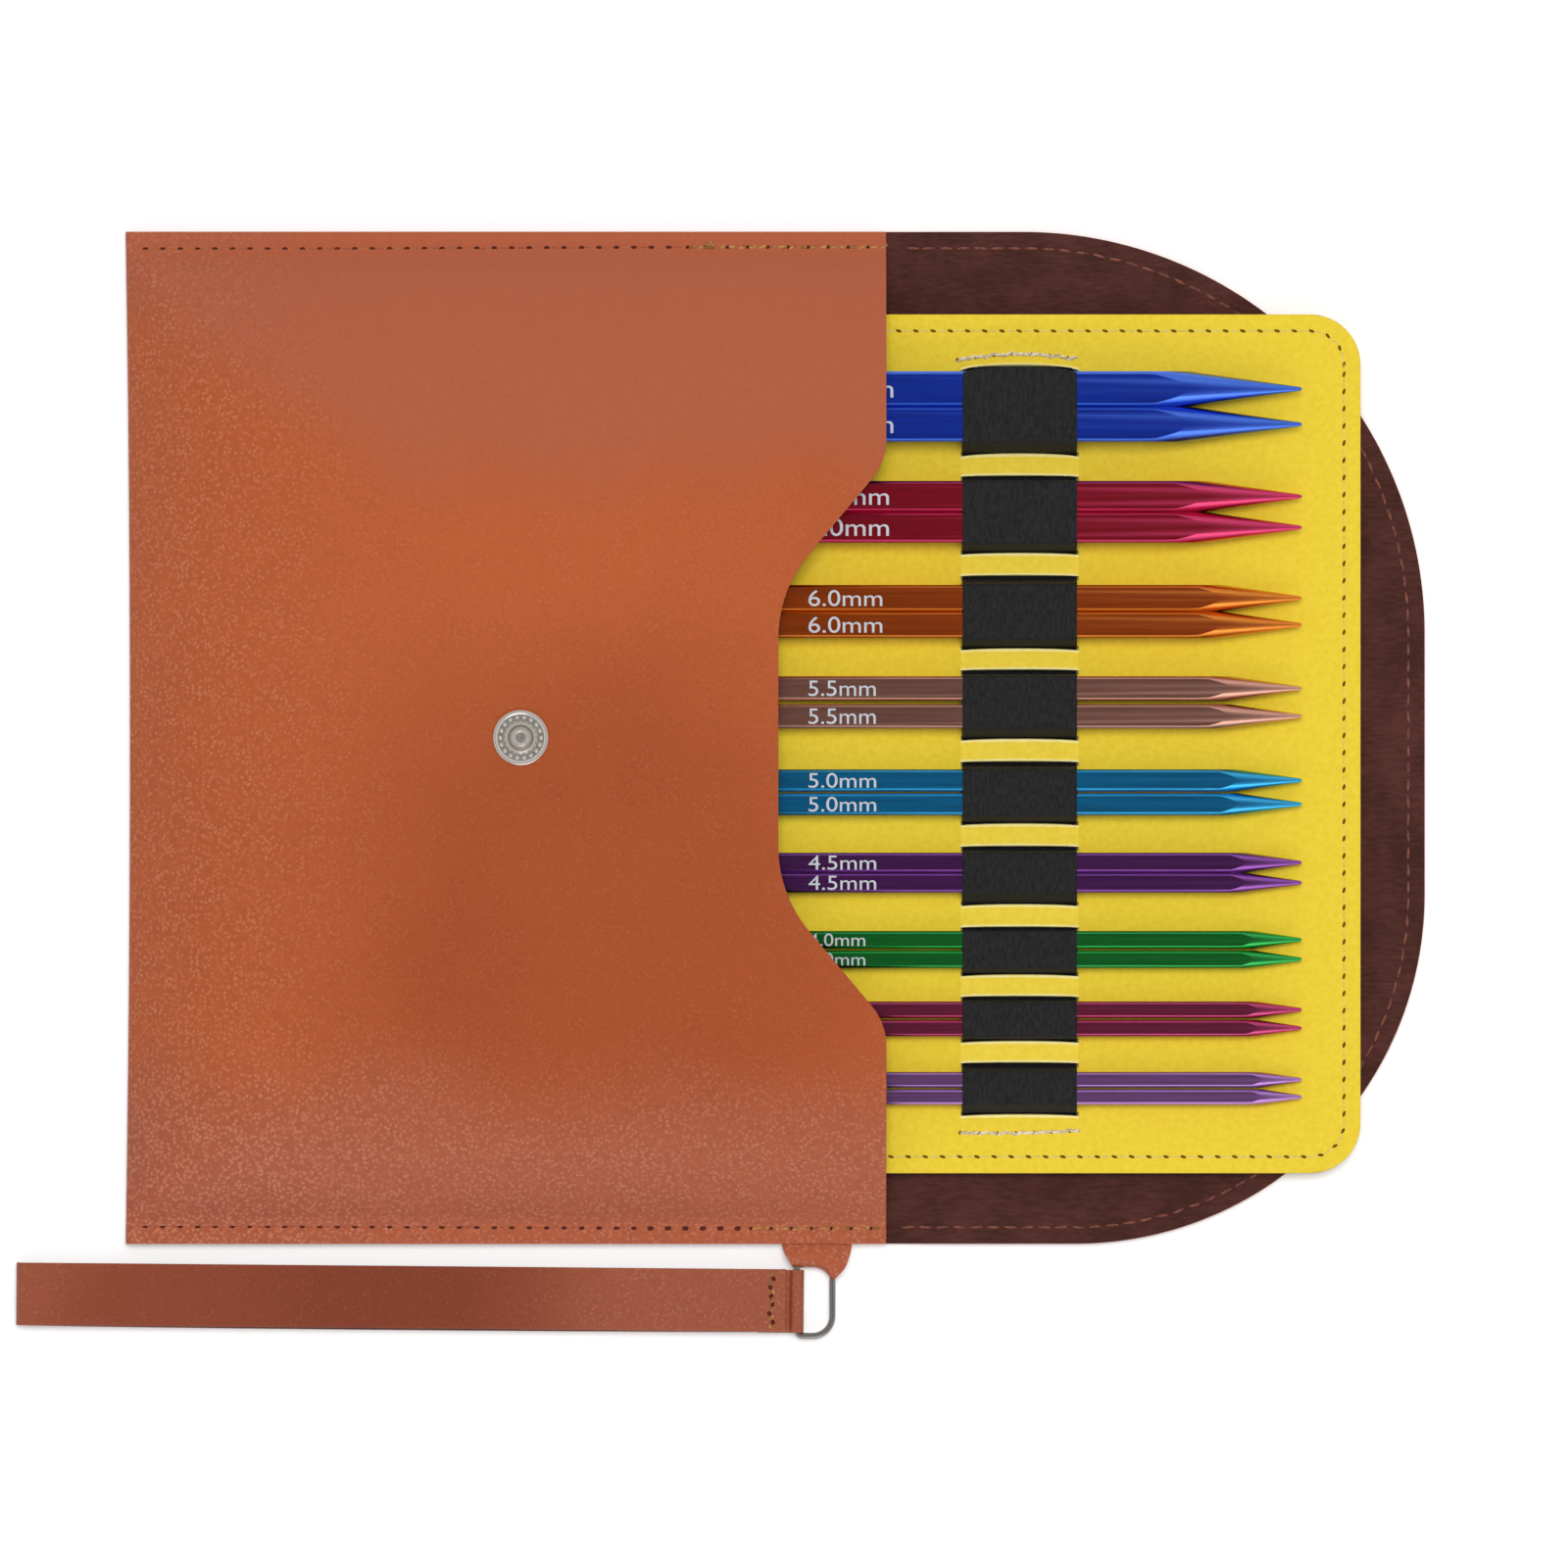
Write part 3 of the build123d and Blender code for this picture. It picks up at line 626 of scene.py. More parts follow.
def board_skin(front):
    """Corners of one skin's outer face, with its edge roll, sewing groove and raised strips."""
    y = board_rows()
    past = np.clip(np.abs(y - board_mid_y) - board_half_y + board_corner, 0, board_corner)
    tuck = board_corner - np.sqrt(board_corner ** 2 - past ** 2)
    left, right = board_left + tuck, board_right - tuck
    ends = np.array([0, 0.012, 0.024, 0.036, 0.044, 0.052, 0.06, 0.068, 0.08])
    ramp = np.concatenate([ends, np.linspace(0.1, 1, 22)])
    columns = [left + (slit_left - left) * share for share in ramp]
    columns += [np.full_like(y, x) for x in np.linspace(slit_left, slit_right, 15)[1:-1]]
    columns += [right + (slit_right - right) * share for share in ramp[::-1]]
    x = np.stack(columns, axis=1)
    y = np.repeat(y[:, None], x.shape[1], axis=1)
    reach_x = np.minimum(x - board_left, board_right - x)
    reach_y = board_half_y - np.abs(y - board_mid_y)
    bend_x = np.clip(board_corner - reach_x, 0, None)
    bend_y = np.clip(board_corner - reach_y, 0, None)
    inset = np.where((bend_x > 0) & (bend_y > 0), board_corner - np.hypot(bend_x, bend_y),
                     np.minimum(reach_x, reach_y))
    z = -0.3 * np.clip(1 - inset / 1.2, 0, 1) ** 2
    z -= groove_depth * np.exp(-((inset - seam_inset) / 0.7) ** 2)
    if front:
        middle = 1 - ((x - (slit_left + slit_right) / 2) / 13.5) ** 2
        window = np.clip(middle, 0, 1) ** 0.5
        level_y = y
        for slit_y, side, bow in slits:
            away = (level_y - slit_y) * side
            beside = (away > 0.4) & (away < 6)
            fade = np.exp(-(away - 0.5) / 2.0)
            z += np.where(beside, 0.6 * np.exp(-(away - 0.5) / 1.3) * window, 0)
            y = y + np.where(beside, side * bow * fade * middle.clip(0) ** 0.7, 0)
        z = board_top + z
    else:
        z = board_bottom - z
    return np.stack([x, y, z], axis=2)


def mottled(name, dark, light, scale, detail, spread=(0, 1), stretch=(1, 1, 1), **settings):
    """Matt material in two tones, mixed by fine noise."""
    material, tree, shader, place = new_material(name)
    place = add_node(tree, "Mapping", {"Vector": place, "Scale": stretch})
    mottle = add_node(tree, "TexNoise", {"Vector": place, "Scale": scale, "Detail": detail})
    share = add_node(tree, "MapRange", {
        "Value": mottle, "From Min": spread[0], "From Max": spread[1]})
    colour = add_node(tree, "Mix", {
        0: share, 6: linear(dark), 7: linear(light)}, data_type="RGBA")
    set_inputs(tree, shader, {"Base Color": colour.outputs[2], **settings})
    return material, tree, shader, place, mottle


def yellow_leather(name, dark, light):
    """Yellow faux leather: a soft coat with faint mottling and almost no grain."""
    material, tree, shader, place, _ = mottled(name, dark, light, 700, 4, (0.35, 0.65))
    pores = add_node(tree, "TexVoronoi", {"Vector": place, "Scale": 1 / (0.7 * MM)})
    relief = add_node(tree, "Bump", {
        "Height": pores.outputs["Distance"], "Strength": 0.4, "Distance": 0.05 * MM})
    set_inputs(tree, shader, {"Normal": relief, "Roughness": 0.55, "Specular IOR Level": 0.3})
    return material


insert_leather = yellow_leather("yellow polyurethane leather", "#ECCC33", "#F2D43B")
front_corners = board_skin(True)
front_skin = grid_piece("insert_front_skin", front_corners)
slit_rows = [int(np.argmin(np.abs(board_rows() - slit_y + 0.5))) for slit_y, *_ in slits]
columns_count = front_corners.shape[1]
first_column = int(np.argmin(np.abs(front_corners[0, :, 0] - slit_left)))
last_column = int(np.argmin(np.abs(front_corners[0, :, 0] - slit_right)))


def choose(piece, kind, test):
    """Go to edit mode with only the edges or polygons selected that pass a test."""
    pick(piece)
    bpy.ops.object.mode_set(mode="EDIT")
    bpy.context.tool_settings.mesh_select_mode = (False, kind == "edges", kind == "polygons")
    bpy.ops.mesh.select_all(action="DESELECT")
    bpy.ops.object.mode_set(mode="OBJECT")
    for item in getattr(piece.data, kind):
        item.select = test(item)
    bpy.ops.object.mode_set(mode="EDIT")


def in_slit(face):
    """Whether a face of the skin's grid is inside a slit."""
    row, column = divmod(face.index, columns_count - 1)
    return row in slit_rows and first_column <= column < last_column


# painted light: the strips between the loops get a lighter yellow to cancel the shade that the
# loops throw on them, and the rows beside the slits a paler one still, as a painted highlight on
# the raised cut edges
lightened_strip_leather = yellow_leather("yellow polyurethane leather painted lighter over the band",
                               "#F6D63E", "#FBDE4A")
edge_highlight_leather = yellow_leather("yellow polyurethane leather at a cut edge", "#FBEA8C", "#FFF2A8")
for material in (insert_leather, lightened_strip_leather, edge_highlight_leather):
    front_skin.data.materials.append(material)
bridge_rows = [row for upper, lower in zip(slit_rows[1::2], slit_rows[2::2])
               for row in range(lower + 1, upper)]
edge_rows = [row + side for row, (_, side, _) in zip(slit_rows, slits)]
for rows, index in ((bridge_rows, 1), (edge_rows, 2)):
    for row in rows:
        for column in range(first_column, last_column):
            front_skin.data.polygons[row * (columns_count - 1) + column].material_index = index
choose(front_skin, "polygons", in_slit)
bpy.ops.mesh.delete(type="FACE")
bpy.ops.object.mode_set(mode="OBJECT")
thicken(front_skin, skin_thick, edge=0.12)
place_piece(front_skin, insert_leather, "insert", ("insert_front",))
back_skin = grid_piece("insert_back_skin", board_skin(False), flip=True)
thicken(back_skin, skin_thick, edge=0.12)
place_piece(back_skin, insert_leather, "insert", ("insert_back",))

# pressed card: matt, with a mottle of pale fibres
card = mottled("grey brown stiff card", "#A88F52", "#CDB87A", 1200, 4, Roughness=0.9)[0]
dress("insert_core", card)


# Elastic band: black woven elastic, 26 mm wide, with ribs 0.8 mm apart along its length. It
# dips under the front skin between the pairs and is stretched over each pair as a loop.
def rounded(points, radius, steps=4):
    """Line of points with an arc in place of each corner."""
    points = [Vector(p) for p in points]
    line = [points[0]]
    for before, here, after in zip(points, points[1:], points[2:]):
        into, out = (here - before), (after - here)
        turn = into.angle(out)
        reach = min(radius * math.tan(turn / 2), into.length * 0.45, out.length * 0.45)
        start, end = here - into.normalized() * reach, here + out.normalized() * reach
        for step in range(steps + 1):
            share = step / steps
            line.append(start.lerp(here, share).lerp(here.lerp(end, share), share))
    return line + [points[-1]]


band_line = [(pairs[0][4] + 3, 4.9)]
for _, size, mid_y, gap, loop_top, loop_foot in pairs:
    head_y, foot_y = loop_top - band_half, loop_foot + band_half
    top = size + gap / 2 + 0.35
    shoulder_y = min(mid_y + top, head_y + 0.1)
    top_z = board_top + 0.4 + size
    crown = [(mid_y + top / 2 * side, top_z + (0.06 if side else 0.02)) for side in (1, 0, -1)]
    band_line += [(head_y, 4.9), (head_y, 6.2), (shoulder_y, top_z)] + crown
    band_line += [(mid_y - top, top_z), (foot_y, 6.2), (foot_y, 4.9)]
band_line += [(pairs[-1][5] - 3, 4.9)]
band_path = rounded(band_line, 1.0)
rib_mm = 0.8
band_columns = np.linspace(1, 0, 105)
rib = 0.05 * np.abs(np.sin(band_columns * (band_right - band_left) * math.pi / rib_mm))
selvage = 0.12 * np.clip(1 - np.minimum(band_columns, 1 - band_columns) * 26 / 0.6, 0, 1) ** 2
lift = rib - selvage - 0.03
band_corners = np.zeros((len(band_path), len(band_columns), 3))
for row, point in enumerate(band_path):
    ahead = band_path[min(row + 1, len(band_path) - 1)] - band_path[max(row - 1, 0)]
    ahead.normalize()
    up = Vector((ahead.y, -ahead.x))
    band_corners[row, :, 0] = band_left + (band_right - band_left) * band_columns
    bowed = top_bow * smooth_step((point.x - 81.5) / 2) * (1 - (2 * band_columns - 1) ** 2) ** 0.7
    band_corners[row, :, 1] = point.x - up.x * (band_half + lift) + bowed
    band_corners[row, :, 2] = point.y - up.y * (band_half + lift)
band = grid_piece("woven_elastic", band_corners)
thicken(band, 2 * band_half)

# woven yarn: matt and black, with short lighter strands along the band
weave, tree, shader, _, strands = mottled(
    "black woven elastic", "#161617", "#252525", 1800, 3, (0.35, 0.65), (1, 0.3, 1))
relief = add_node(tree, "Bump", {"Height": strands, "Strength": 0.5, "Distance": 0.06 * MM})
set_inputs(tree, shader, {"Normal": relief, "Roughness": 0.8, "Specular IOR Level": 0.3})
place_piece(band, weave, "insert", ("elastic_band",))

# Needles: square aluminium bar with softened edges, ground to a round point, and anodised
# in one colour per size. The ground cone cuts into the flats in long arcs. The steel screw
# end in each heel keeps its CAD shape.
needle_colours = {  # dye on the flats, and a lighter colour on the sloped faces as a painted highlight
    "8_0": ("#1640CE", "#4273E7"), "7_0": ("#A80828", "#D9356C"),
    "6_0": ("#BB4D03", "#E78623"), "5_5": ("#9B695B", "#D99F8B"),
    "5_0": ("#0A7CB5", "#2EACE3"), "4_5": ("#5C2269", "#944FAE"),
    "4_0": ("#0E812E", "#23AE4D"), "3_75": ("#8B264D", "#C43F75"),
    "3_5": ("#8E5D9D", "#B582CB"),
}
needle_back, needle_length, point_angle = 52.8, 129.4, 7.8


def anodised(name, flat_colour, highlight_colour):
    """Anodised aluminium: dyed oxide over drawn metal, with a lighter colour on its sloped faces as
    a painted highlight.
    """
    material, tree, shader, place = new_material(name)
    drawn = add_node(tree, "Mapping", {"Vector": place, "Scale": (0.02, 1, 1)})
    lines = add_node(tree, "TexNoise", {"Vector": drawn, "Scale": 2500, "Detail": 3})
    gloss = add_node(tree, "MapRange", {"Value": lines, "To Min": 0.22, "To Max": 0.38})
    gain = add_node(tree, "MapRange", {
        "Value": lines, "From Min": 0.3, "From Max": 0.7,
        "To Min": 0.9, "To Max": 1.1})
    facing = add_node(tree, "TexCoord").outputs["Normal"]
    slope = add_node(tree, "SeparateXYZ", {0: facing})
    sloped = add_node(tree, "MapRange", {
        "Value": slope.outputs["Z"], "From Min": 0.998, "From Max": 0.965})
    upright = add_node(tree, "MapRange", {
        "Value": slope.outputs["Z"], "From Min": 0.1, "From Max": 0.5, "To Max": sloped})
    # painted highlight: faces that slope up take the lighter colour, while the flat top, the
    # upright sides and the underside keep the dye's own colour
    tint = add_node(tree, "Mix", {
        0: upright, 6: linear(flat_colour), 7: linear(highlight_colour)}, data_type="RGBA")
    dyed_and_highlighted = add_node(tree, "VectorMath", {0: tint.outputs[2], "Scale": gain}, operation="SCALE")
    set_inputs(tree, shader, {
        "Roughness": gloss, "Base Color": dyed_and_highlighted, "Metallic": 1, "Coat Weight": 0.6,
        "Coat Roughness": 0.15})
    return material


def needle_model(size):
    """Bar with bevelled edges, cut to the ground round."""
    bar = added("bar", bpy.ops.mesh.primitive_cube_add, size=1)
    bar.data.transform(Matrix.Translation((needle_length / 2 * MM, 0, 0))
                       @ Matrix.Diagonal((needle_length * MM, size * MM, size * MM, 1)))
    corners = bar.data.vertices
    choose(bar, "edges", lambda edge: abs(
        corners[edge.vertices[0]].co.x - corners[edge.vertices[1]].co.x) > 0.01)
    edge = 0.45 + 0.03 * size
    bpy.ops.mesh.bevel(offset=edge * MM, segments=3, affect="EDGES")
    bpy.ops.object.mode_set(mode="OBJECT")
    corner_r = math.hypot(size / 2, size / 2 - edge)
    taper = (corner_r - 0.45) / math.tan(math.radians(point_angle))
    shoulder = needle_length - 0.4 - taper
    soft = [(corner_r + 0.02, shoulder - 2), (corner_r - 0.03, shoulder + 1.2)]
    outline = [(0, 0), (0.52 * size, 0), (corner_r + 0.02, 1)] + soft
    outline += [(0.47, needle_length - 0.5), (0.34, needle_length - 0.17),
                (0.16, needle_length - 0.03), (0, needle_length)]
    ground = turned("ground", outline, (0, 0, 0), axis="X", steps=96)
    modify(bar, "BOOLEAN", operation="INTERSECT", object=ground, solver="EXACT")
    bpy.data.objects.remove(ground)
    smooth(bar, 24)
    return bar


# turned steel: fine rings round the axis soften its shine
steel, tree, shader, place = new_material("turned stainless steel")
rings = add_node(tree, "TexWave", {
    "Vector": place, "Scale": 700, "Distortion": 1}, bands_direction="X")
gloss = add_node(tree, "MapRange", {
    "Value": rings.outputs["Fac"], "To Min": 0.28, "To Max": 0.42})
set_inputs(tree, shader, {"Roughness": gloss, "Base Color": linear("#C8C8C8"), "Metallic": 1})

# laser etching takes the dye off and leaves pale, matt metal
etched = mottled("laser etched gauge mark", "#AEB2BA", "#D8DCE2", 1500, 2, Roughness=0.6)[0]
mark_sizes = {
    "8_0": (19.4, 4.2), "7_0": (18.4, 4.0), "6_0": (16.9, 3.7), "5_5": (15.4, 3.55),
    "5_0": (15.5, 3.4), "4_5": (15.5, 3.3), "4_0": (13.0, 2.9), "3_75": (14.4, 2.7),
    "3_5": (11.8, 2.5),
}


def gauge_mark(name, text, width, height, spot):
    """Gauge number, flat on the needle's upper face."""
    mark = added(name, bpy.ops.object.text_add)
    mark.data.body = text
    mark.data.extrude = 0.01
    bpy.ops.object.convert(target="MESH")
    corners = np.array([v.co[:] for v in mark.data.vertices])
    low, high = corners.min(axis=0), corners.max(axis=0)
    share = (corners - low) / (high - low)
    corners = np.array(spot) + (share - (0, 0.5, 0)) * (width, height, 0.03)
    put_corners(mark, corners)
    return mark


for name, size, mid_y, gap, *_ in pairs:
    dyed = anodised("anodised aluminium " + name.replace("_", "."), *needle_colours[name])
    model = needle_model(size)
    for row, side in (("upper", 1), ("lower", -1)):
        body = f"needle_{name}_{row}_set"
        middle = Vector((needle_back, mid_y + side * (size + gap) / 2, board_top + 0.05 + size / 2))
        bar = bpy.data.objects.new(f"bar_{name}_{row}", model.data.copy())
        scene.collection.objects.link(bar)
        bar.data.transform(Matrix.Translation(middle * MM))
        place_piece(bar, dyed, body, (f"needle_{name}_{row}",))
        dress(f"screw_end_{name}_{row}", steel)
        width, height = mark_sizes[name]
        spot = (69.2, middle.y, middle.z + size / 2 + 0.005)
        mark = gauge_mark(f"mark_{name}_{row}", name.replace("_", ".") + "mm", width, height, spot)
        place_piece(mark, etched, body)
    bpy.data.objects.remove(model)


# Ring tab: a strip of the same leather folded round the ring's top bar, its two ends sewn
# flat into the seam. It narrows to the ring and follows the wire round its right corner.
ring_y, ring_z, tab_fold_r, root_y = -119.3, 2.1, 2.1, -112.5
ring_left, ring_right, ring_corner_r = 66.5, 74.7, 4.5


def tab_point(share):
    """Y and Z of the tab's outer face, from its lower root round the ring to its upper root."""
    if 0.3 <= share <= 0.7:
        turn = math.radians(-90 - 180 * (share - 0.3) / 0.4)
        return ring_y + tab_fold_r * math.cos(turn), ring_z + tab_fold_r * math.sin(turn)
    step = min(share, 1 - share) / 0.3
    eased = smooth_step((step - 0.2) / 0.8)
    return root_y + (ring_y - root_y) * step, 1.2 - 1.2 * eased if share < 0.3 else 2 + 2.2 * eased


tab_corners = []
for share in np.linspace(0, 1, 61):
    y, z = tab_point(share)
    waist = np.clip((-115.4 - y) / 6, 0, 1) ** 1.6
    left, right = 63.1 + 2.6 * waist, 79.2 - 4.2 * waist
    row = []
    for x in np.linspace(left, right, 31):
        past = min(max(x - ring_right + ring_corner_r, 0), 4.2)
        around = ring_corner_r - math.sqrt(ring_corner_r ** 2 - past ** 2)
        row.append((x, y - around * smooth_step((-114.5 - y) / 5), z))
    tab_corners.append(row)
ring_tab = grid_piece("ring_tab_strip", np.array(tab_corners))
thicken(ring_tab, 0.8, edge=0.15)
place_piece(ring_tab, case_leather, "pouch", ("ring_tab",))

# D-ring: 1.4 mm steel wire bent to a D and plated dark nickel. Its joint is closed, so it
# is one smooth loop of round wire.
ring_down, tight_r, wire_r = -137.1, 1.5, 0.7
ring_points = [(ring_left, ring_y), (ring_right, ring_y), (ring_right, ring_down),
               (ring_left, ring_down)]
ring_line = []
for index, radius in enumerate((tight_r, ring_corner_r, ring_corner_r, tight_r)):
    here = Vector(ring_points[index])
    before = (Vector(ring_points[index - 1]) - here).normalized()
    after = (Vector(ring_points[(index + 1) % 4]) - here).normalized()
    centre = here + (before + after) * radius
    for step in range(9):
        turn = math.pi / 2 * step / 8
        ring_line.append(centre - after * radius * math.cos(turn)
                         - before * radius * math.sin(turn))
curve = bpy.data.curves.new("ring_wire", "CURVE")
curve.dimensions = "3D"
spline = curve.splines.new("POLY")
spline.points.add(len(ring_line) - 1)
for point, spot in zip(spline.points, ring_line):
    point.co = (spot.x * MM, spot.y * MM, ring_z * MM, 1)
spline.use_cyclic_u = True
curve.bevel_depth = wire_r * MM
curve.bevel_resolution = 6
wire = bpy.data.objects.new("ring_wire", curve)
scene.collection.objects.link(wire)
pick(wire)
bpy.ops.object.convert(target="MESH")
wire = bpy.context.object
smooth(wire, 60)
ring_metal = metal("dark nickel plated steel wire", "#8A8683", 1200, 4, 0.18, 0.4)
place_piece(wire, ring_metal, "ring", ("d_ring",))

# Wrist strap: one strip of smooth tan leather with a thin lining, folded flat on itself at
# the left. Both ends are sewn over the tail of a short loop that turns on the ring's bar.
strap_right, strap_left, strap_y = 64.0, -112.4, -129.0
strap_half, strap_r, loop_y = 7.2, 2.1, -129.2


def strap_layer(inset, half):
    """Outer face of one layer of the strap: lower run, fold, upper run."""
    radius = strap_r - inset
    fold_x = strap_left + strap_r
    run = np.linspace(strap_right, fold_x, 70)
    line = [(x, -radius) for x in run]
    line += [(fold_x - radius * math.sin(t), -radius * math.cos(t))
             for t in np.linspace(0, math.pi, 13)[1:-1]]
    line += [(x, radius) for x in run[::-1]]
    across = np.linspace(-half, half, 21)
    corners = np.zeros((len(across), len(line), 3))
    for column, (x, z) in enumerate(line):
        along = (x - strap_left) / (strap_right - strap_left)
        drop = 0.12 * np.clip((np.abs(across) - half + 1.2) / 1.2, 0, 1) ** 2
        swell = 0.1 * math.sin(x / 17) + 0.06 * math.sin(x / 6.1)
        skew = 0.45 * max(math.sin(math.pi * along), 0) ** 0.4 if z < 0 else 0
        corners[:, column, 0] = x
        corners[:, column, 1] = strap_y + across - skew
        lifted = swell * along if z > 0 else 0
        corners[:, column, 2] = ring_z + z - np.sign(z) * drop + lifted
    return corners


def lie(piece):
    """Turn a strap piece half a degree about the ring's bar."""
    pivot = Vector((ring_left, strap_y, 0)) * MM
    turn = Matrix.Rotation(math.radians(-0.5), 4, "Z")
    piece.data.transform(Matrix.Translation(pivot) @ turn @ Matrix.Translation(-pivot))


# strap: paler towards its fold as painted sheen where it curves, paler towards its right end too,
# and darker round the middle of its length
strap_zones = [("along", -70, -112, 0.95, 0.2), ("along", 5, 45, 0.7, 0.2)]
strap_leather = leather("smooth tan polyurethane leather", "#7E361C", "#8A4026", "#A4583C",
                        (-26, -129, 10, 60), strap_zones, 0.9, 0.05, 0.42)
strap = grid_piece("strap_strip", strap_layer(0, strap_half))
thicken(strap, 1.0, edge=0.2)
lie(strap)
place_piece(strap, strap_leather, "strap", ("wrist_strap",))
strap_cloth = grid_piece("strap_lining_cloth", strap_layer(1.0, strap_half - 0.2))
thicken(strap_cloth, 0.3)
lie(strap_cloth)
place_piece(strap_cloth, lining_cloth, "strap", ("strap_lining",))

loop_line = [(57.5, -0.8), (63.2, -0.8), (63.9, -0.5), (64.9, -0.5)]
loop_line += [(ring_left + 1.65 * math.cos(t), 1.9 * math.sin(t))
              for t in np.linspace(math.radians(-140), math.radians(140), 29)]
loop_line += [(64.9, 0.5), (63.9, 0.5), (63.2, 0.8), (57.5, 0.8)]
loop_ys = loop_y + np.linspace(-strap_half, strap_half, 17)
loop_corners = [[(x, y, ring_z + z) for y in loop_ys] for x, z in loop_line]
strap_loop = grid_piece("strap_loop_strip", np.array(loop_corners))
thicken(strap_loop, 0.78, edge=0.15)
lie(strap_loop)
place_piece(strap_loop, strap_leather, "strap", ("strap_loop",))


# Threads: polyester sewing thread. Each visible stitch is a short arch of thread that dips
# into its holes, and the needle's holes are dark ovals of painted shade between the stitches.
def thread(name, dark, light):
    """Twisted polyester thread: two tones that change along each stitch."""
    return mottled(name, dark, light, 1100, 2, (0.4, 0.6),
                   **{"Roughness": 0.6, "Sheen Weight": 0.2})[0]


def walk(line, pitch, start=0.0):
    """Evenly spaced spots along a line, with the direction there."""
    line = np.array(line, float)
    steps = np.linalg.norm(np.diff(line, axis=0), axis=1)
    reached = np.concatenate([[0], np.cumsum(steps)])
    spots = []
    for along in np.arange(start + pitch / 2, reached[-1], pitch):
        spot, ahead, behind = [
            Vector([np.interp(there, reached, line[:, i]) for i in range(3)])
            for there in (along, along + 0.4, along - 0.4)]
        spots.append((spot, (ahead - behind).normalized()))
    return spots


def stitch_places(spots, half_length, radius, up=(0, 0, 1), slant=0.0, jitter=0.0):
    """Matrices that stretch and turn a ball into each stitch."""
    places = []
    for index, (spot, ahead) in enumerate(spots):
        upward = (Vector(up) - ahead * Vector(up).dot(ahead)).normalized()
        side = upward.cross(ahead)
        lean = math.radians(slant + jitter * math.sin(index * 2.7))
        along = ahead * math.cos(lean) + side * math.sin(lean)
        side = upward.cross(along)
        turn = Matrix((along, side, upward)).transposed().to_4x4()
        size = Matrix.Diagonal((half_length * MM, radius * MM, radius * 0.8 * MM, 1))
        places.append(Matrix.Translation(spot * MM) @ turn @ size)
    return places


def stitch():
    """Ball bent to an arch, so that its ends dip into the leather."""
    model = ball(8, 6)
    for corner in model.data.vertices:
        corner.co = (corner.co.z, corner.co.y, corner.co.x - 0.7 * corner.co.z ** 2)
    return model


# a needle hole is a small matt dent, drawn as a flat oval in a darker colour of what it is punched
# in: painted shade in the hole
hole = mottled("needle hole in leather", "#4A3208", "#7A5A10", 900, 2, Roughness=0.9)[0]
dark_hole = mottled("needle hole in tan leather", "#3E140C", "#5E2412", 900, 2,
                    Roughness=0.9)[0]

tan_thread = thread("tan polyester thread", "#9C4826", "#B4643C")
rust_thread = thread("rust brown polyester thread", "#643022", "#8A4C34")
gold_thread = thread("gold brown polyester thread", "#8A5424", "#C08A4A")
cream_thread = thread("cream polyester thread", "#D8BE62", "#E6D08A")
thick_thread = thread("thick undyed polyester thread", "#C4AE86", "#EFE4C6")


def sewn(name, lines, pitch, half_length, radius, material, body, up=(0, 0, 1), **turns):
    """A piece of stitches along one or more lines."""
    spots = [spot for line in lines for spot in walk(line, pitch)]
    piece = repeat(name, stitch(), stitch_places(spots, half_length, radius, up, **turns))
    place_piece(piece, material, body)
    return piece


def punched(name, lines, pitch, half_length, radius, material, body, up=(0, 0, 1), slant=0.0):
    """Needle holes between the stitches, as shallow dark ovals of painted shade."""
    above = Vector(up) * 0.07
    spots = [(spot + above, ahead)
             for line in lines for spot, ahead in walk(line, pitch, -pitch / 2)]
    places = [place @ Matrix.Diagonal((1, 1, 0.12, 1))
              for place in stitch_places(spots, half_length, radius, up, slant)]
    piece = repeat(name, ball(8, 4), places)
    place_piece(piece, material, body)
    return piece


# Flap seam: rust brown thread, sewn round the flap 3.8 mm from its edge. It goes through the
# lining and the leather, so its stitches show on both faces.
def flap_seam(z):
    """Line of the flap's seam at a height."""
    seam_y, end_x = case_half - seam_inset, upper_x + upper_r - seam_inset
    line = [(91, seam_y, z), (upper_x, seam_y, z)]
    radius = upper_r - seam_inset
    for turn in np.radians(np.arange(88, 0, -3)):
        line.append((upper_x + radius * math.cos(turn), upper_y + radius * math.sin(turn), z))
    line += [(end_x, upper_y, z), (end_x, lower_y, z)]
    radius = lower_r - seam_inset
    for turn in np.radians(np.arange(2, 90, 3)):
        line.append((lower_x + radius * math.cos(turn), lower_y - radius * math.sin(turn), z))
    return line + [(lower_x, -seam_y, z), (91, -seam_y, z)]


sewn("flap_seam_inside", [flap_seam(2.22)], 3.9, 1.6, 0.3, rust_thread, "flap", jitter=5)
sewn("flap_seam_outside", [flap_seam(0.58)], 3.9, 1.7, 0.3, rust_thread, "flap", up=(0, 0, -1))


# Pouch seams: both long sides, 3.8 mm from the edge, through front and back. They are sewn
# over a second time towards the mouth, with a gold brown thread that ends in a knot.
def side_seam(side, left, right, back=False):
    """Line of a stretch of a pouch seam, on the front or on the back."""
    line = []
    for x in np.arange(left, right, 1.5):
        y = side * (112.0 + 0.5 * smooth_step((x + 60) / 120))
        z = 0.0 if back else float(front_height(np.array(x), np.array(y)))
        line.append((x, y, z))
    return line


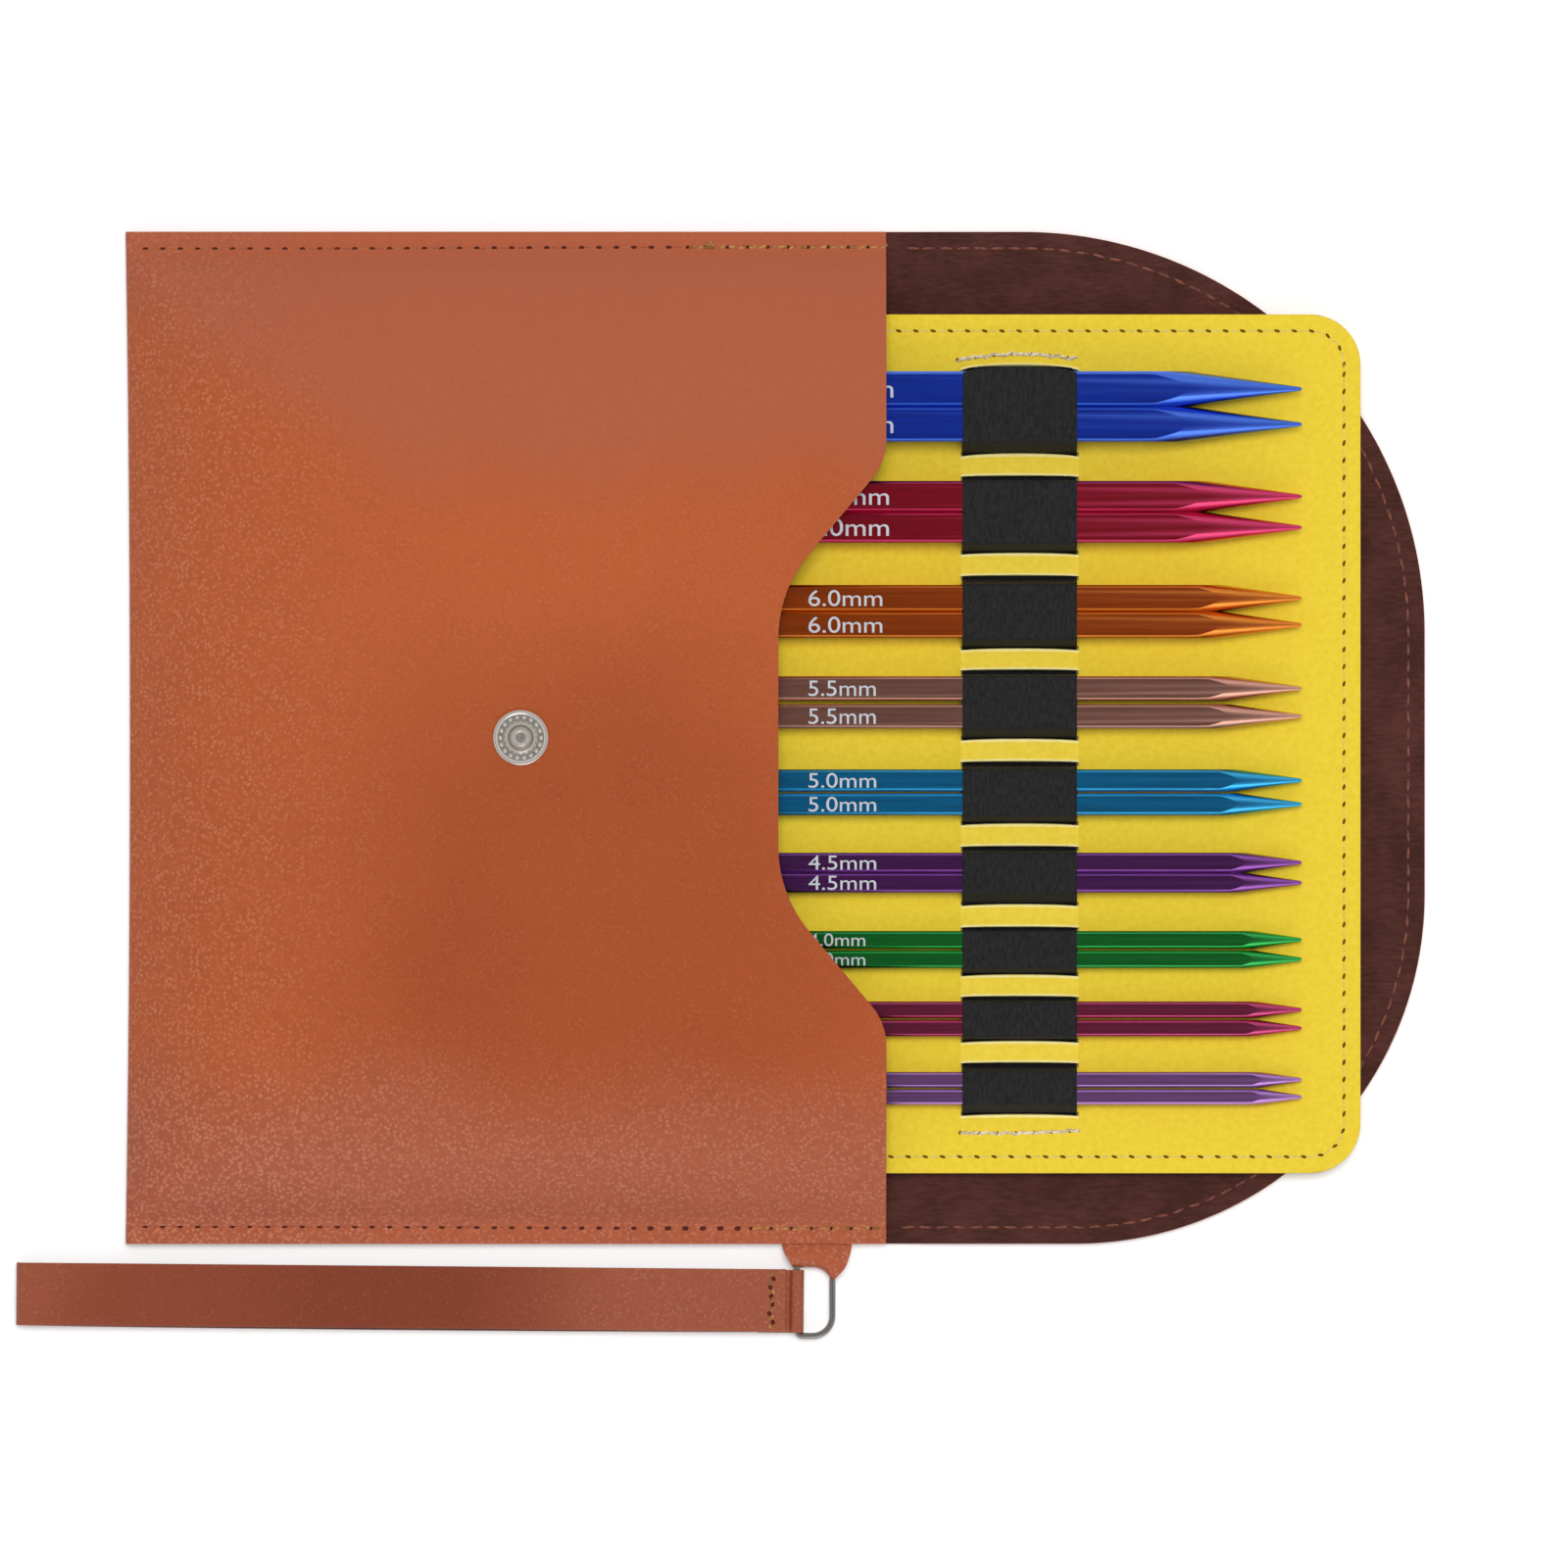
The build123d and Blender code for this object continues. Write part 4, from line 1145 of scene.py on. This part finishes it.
single_seams = [side_seam(1, -82.8, 41.5), side_seam(-1, -82.8, 33)]
double_seams = [side_seam(1, 41.5, 86.8), side_seam(-1, 56, 86.8)]
back_seams = [side_seam(1, -82.8, 86.8, True), side_seam(-1, -82.8, 86.8, True)]
sewn("pouch_seam_front", single_seams, 4.0, 1.5, 0.24, tan_thread, "pouch", jitter=6)
sewn("pouch_seam_double", double_seams, 2.3, 1.3, 0.4, gold_thread, "pouch", slant=14, jitter=16)
sewn("pouch_seam_back", back_seams, 4.0, 1.6, 0.2, tan_thread, "pouch", up=(0, 0, -1))
punched("pouch_seam_holes", single_seams, 4.0, 0.7, 0.46, dark_hole, "pouch")
punched("pouch_seam_wide_holes", double_seams, 4.6, 0.5, 0.45, dark_hole, "pouch", slant=30)
stretched_seam = [side_seam(-1, 33, 56)]
punched("pouch_seam_stretched_holes", stretched_seam, 4.0, 0.8, 0.75, dark_hole, "pouch", slant=60)
knot = [(Vector((46.5, 112.6, 3.3)), Vector((math.cos(t), math.sin(t), 0.1)).normalized())
        for t in np.radians((20, 75, 140))]
knot_ends = repeat("seam_knot", stitch(), stitch_places(knot, 1.5, 0.26))
place_piece(knot_ends, gold_thread, "pouch")


# Board seam: cream thread, sewn round the board 3.8 mm from its edge. It goes through both
# skins and the card, so its stitches and their holes show on both faces.
def board_seam(z):
    """Line of the board's seam, as a closed round-cornered loop."""
    half_x = (board_right - board_left) / 2 - seam_inset
    half_y, radius = board_half_y - seam_inset, board_corner - seam_inset
    mid_x = (board_left + board_right) / 2
    line = []
    for corner_x, corner_y, start in ((1, 1, 0), (-1, 1, 90), (-1, -1, 180), (1, -1, 270)):
        for step in range(0, 91, 10):
            turn = math.radians(start + step)
            line.append((mid_x + corner_x * (half_x - radius) + radius * math.cos(turn),
                         board_mid_y + corner_y * (half_y - radius) + radius * math.sin(turn), z))
    return line + [line[0]]


front_seam, back_seam = [
    [board_seam(z)] for z in (board_top - groove_depth, board_bottom + groove_depth)]
sewn("board_seam_front", front_seam, 3.94, 1.4, 0.22, cream_thread, "insert")
sewn("board_seam_back", back_seam, 3.94, 1.4, 0.2, cream_thread, "insert", up=(0, 0, -1))
punched("board_seam_holes", [board_seam(board_top - 0.1)], 3.94, 0.72, 0.33, hole, "insert",
        slant=-16)
punched("board_seam_holes_back", [board_seam(board_bottom + 0.1)], 3.94, 0.72, 0.33, hole,
        "insert", up=(0, 0, -1), slant=-16)

# Band ends: a row of thick undyed thread across each end of the band, through the front
# skin. The stitches slant, with a small hole beside every second one.
band_ends = [
    [(103.4 + 27.2 * s, 86.6 + 1.2 * math.sin(math.pi * s) + 0.2 * s, 6.1)
     for s in np.linspace(0, 1, 15)],
    [(104.0 + 27.4 * s, -90.5 - 0.3 * math.sin(math.pi * s) + 0.5 * s, 6.0)
     for s in np.linspace(0, 1, 15)],
]
sewn("band_end_seams", band_ends, 2.1, 1.7, 0.42, thick_thread, "insert", slant=12, jitter=13)
punched("band_end_holes", band_ends, 4.2, 0.45, 0.45, hole, "insert", slant=50)

# Strap end seam: short gold brown stitches that zigzag across the strap, with a wide hole
# after each. They go through both runs of the strap and the tail of its loop.
end_seam_x = 60.7
strap_stitches, strap_holes = [], []
for face_z, up in ((4.17, 1), (0.03, -1)):
    for index, y in enumerate(np.arange(-123.0, -135.5, -1.0)):
        x = end_seam_x + 0.45 * math.sin(index * 1.9)
        spot = (Vector((x, y, face_z)), Vector((0, 1, 0)))
        kind = strap_holes if index % 2 else strap_stitches
        lengths = (0.62, 0.5) if index % 2 else (0.85, 0.3)
        kind += stitch_places([spot], *lengths, (0, 0, up), 55 * math.sin(index * 2.3))
strap_holes = [place @ Matrix.Diagonal((1, 1, 0.12, 1)) for place in strap_holes]
strap_seam = repeat("strap_end_seam", stitch(), strap_stitches)
seam_holes = repeat("strap_end_holes", ball(8, 4), strap_holes)
for piece, material in ((strap_seam, gold_thread), (seam_holes, dark_hole)):
    lie(piece)
    place_piece(piece, material, "strap")

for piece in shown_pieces():
    piece.select_set(False)
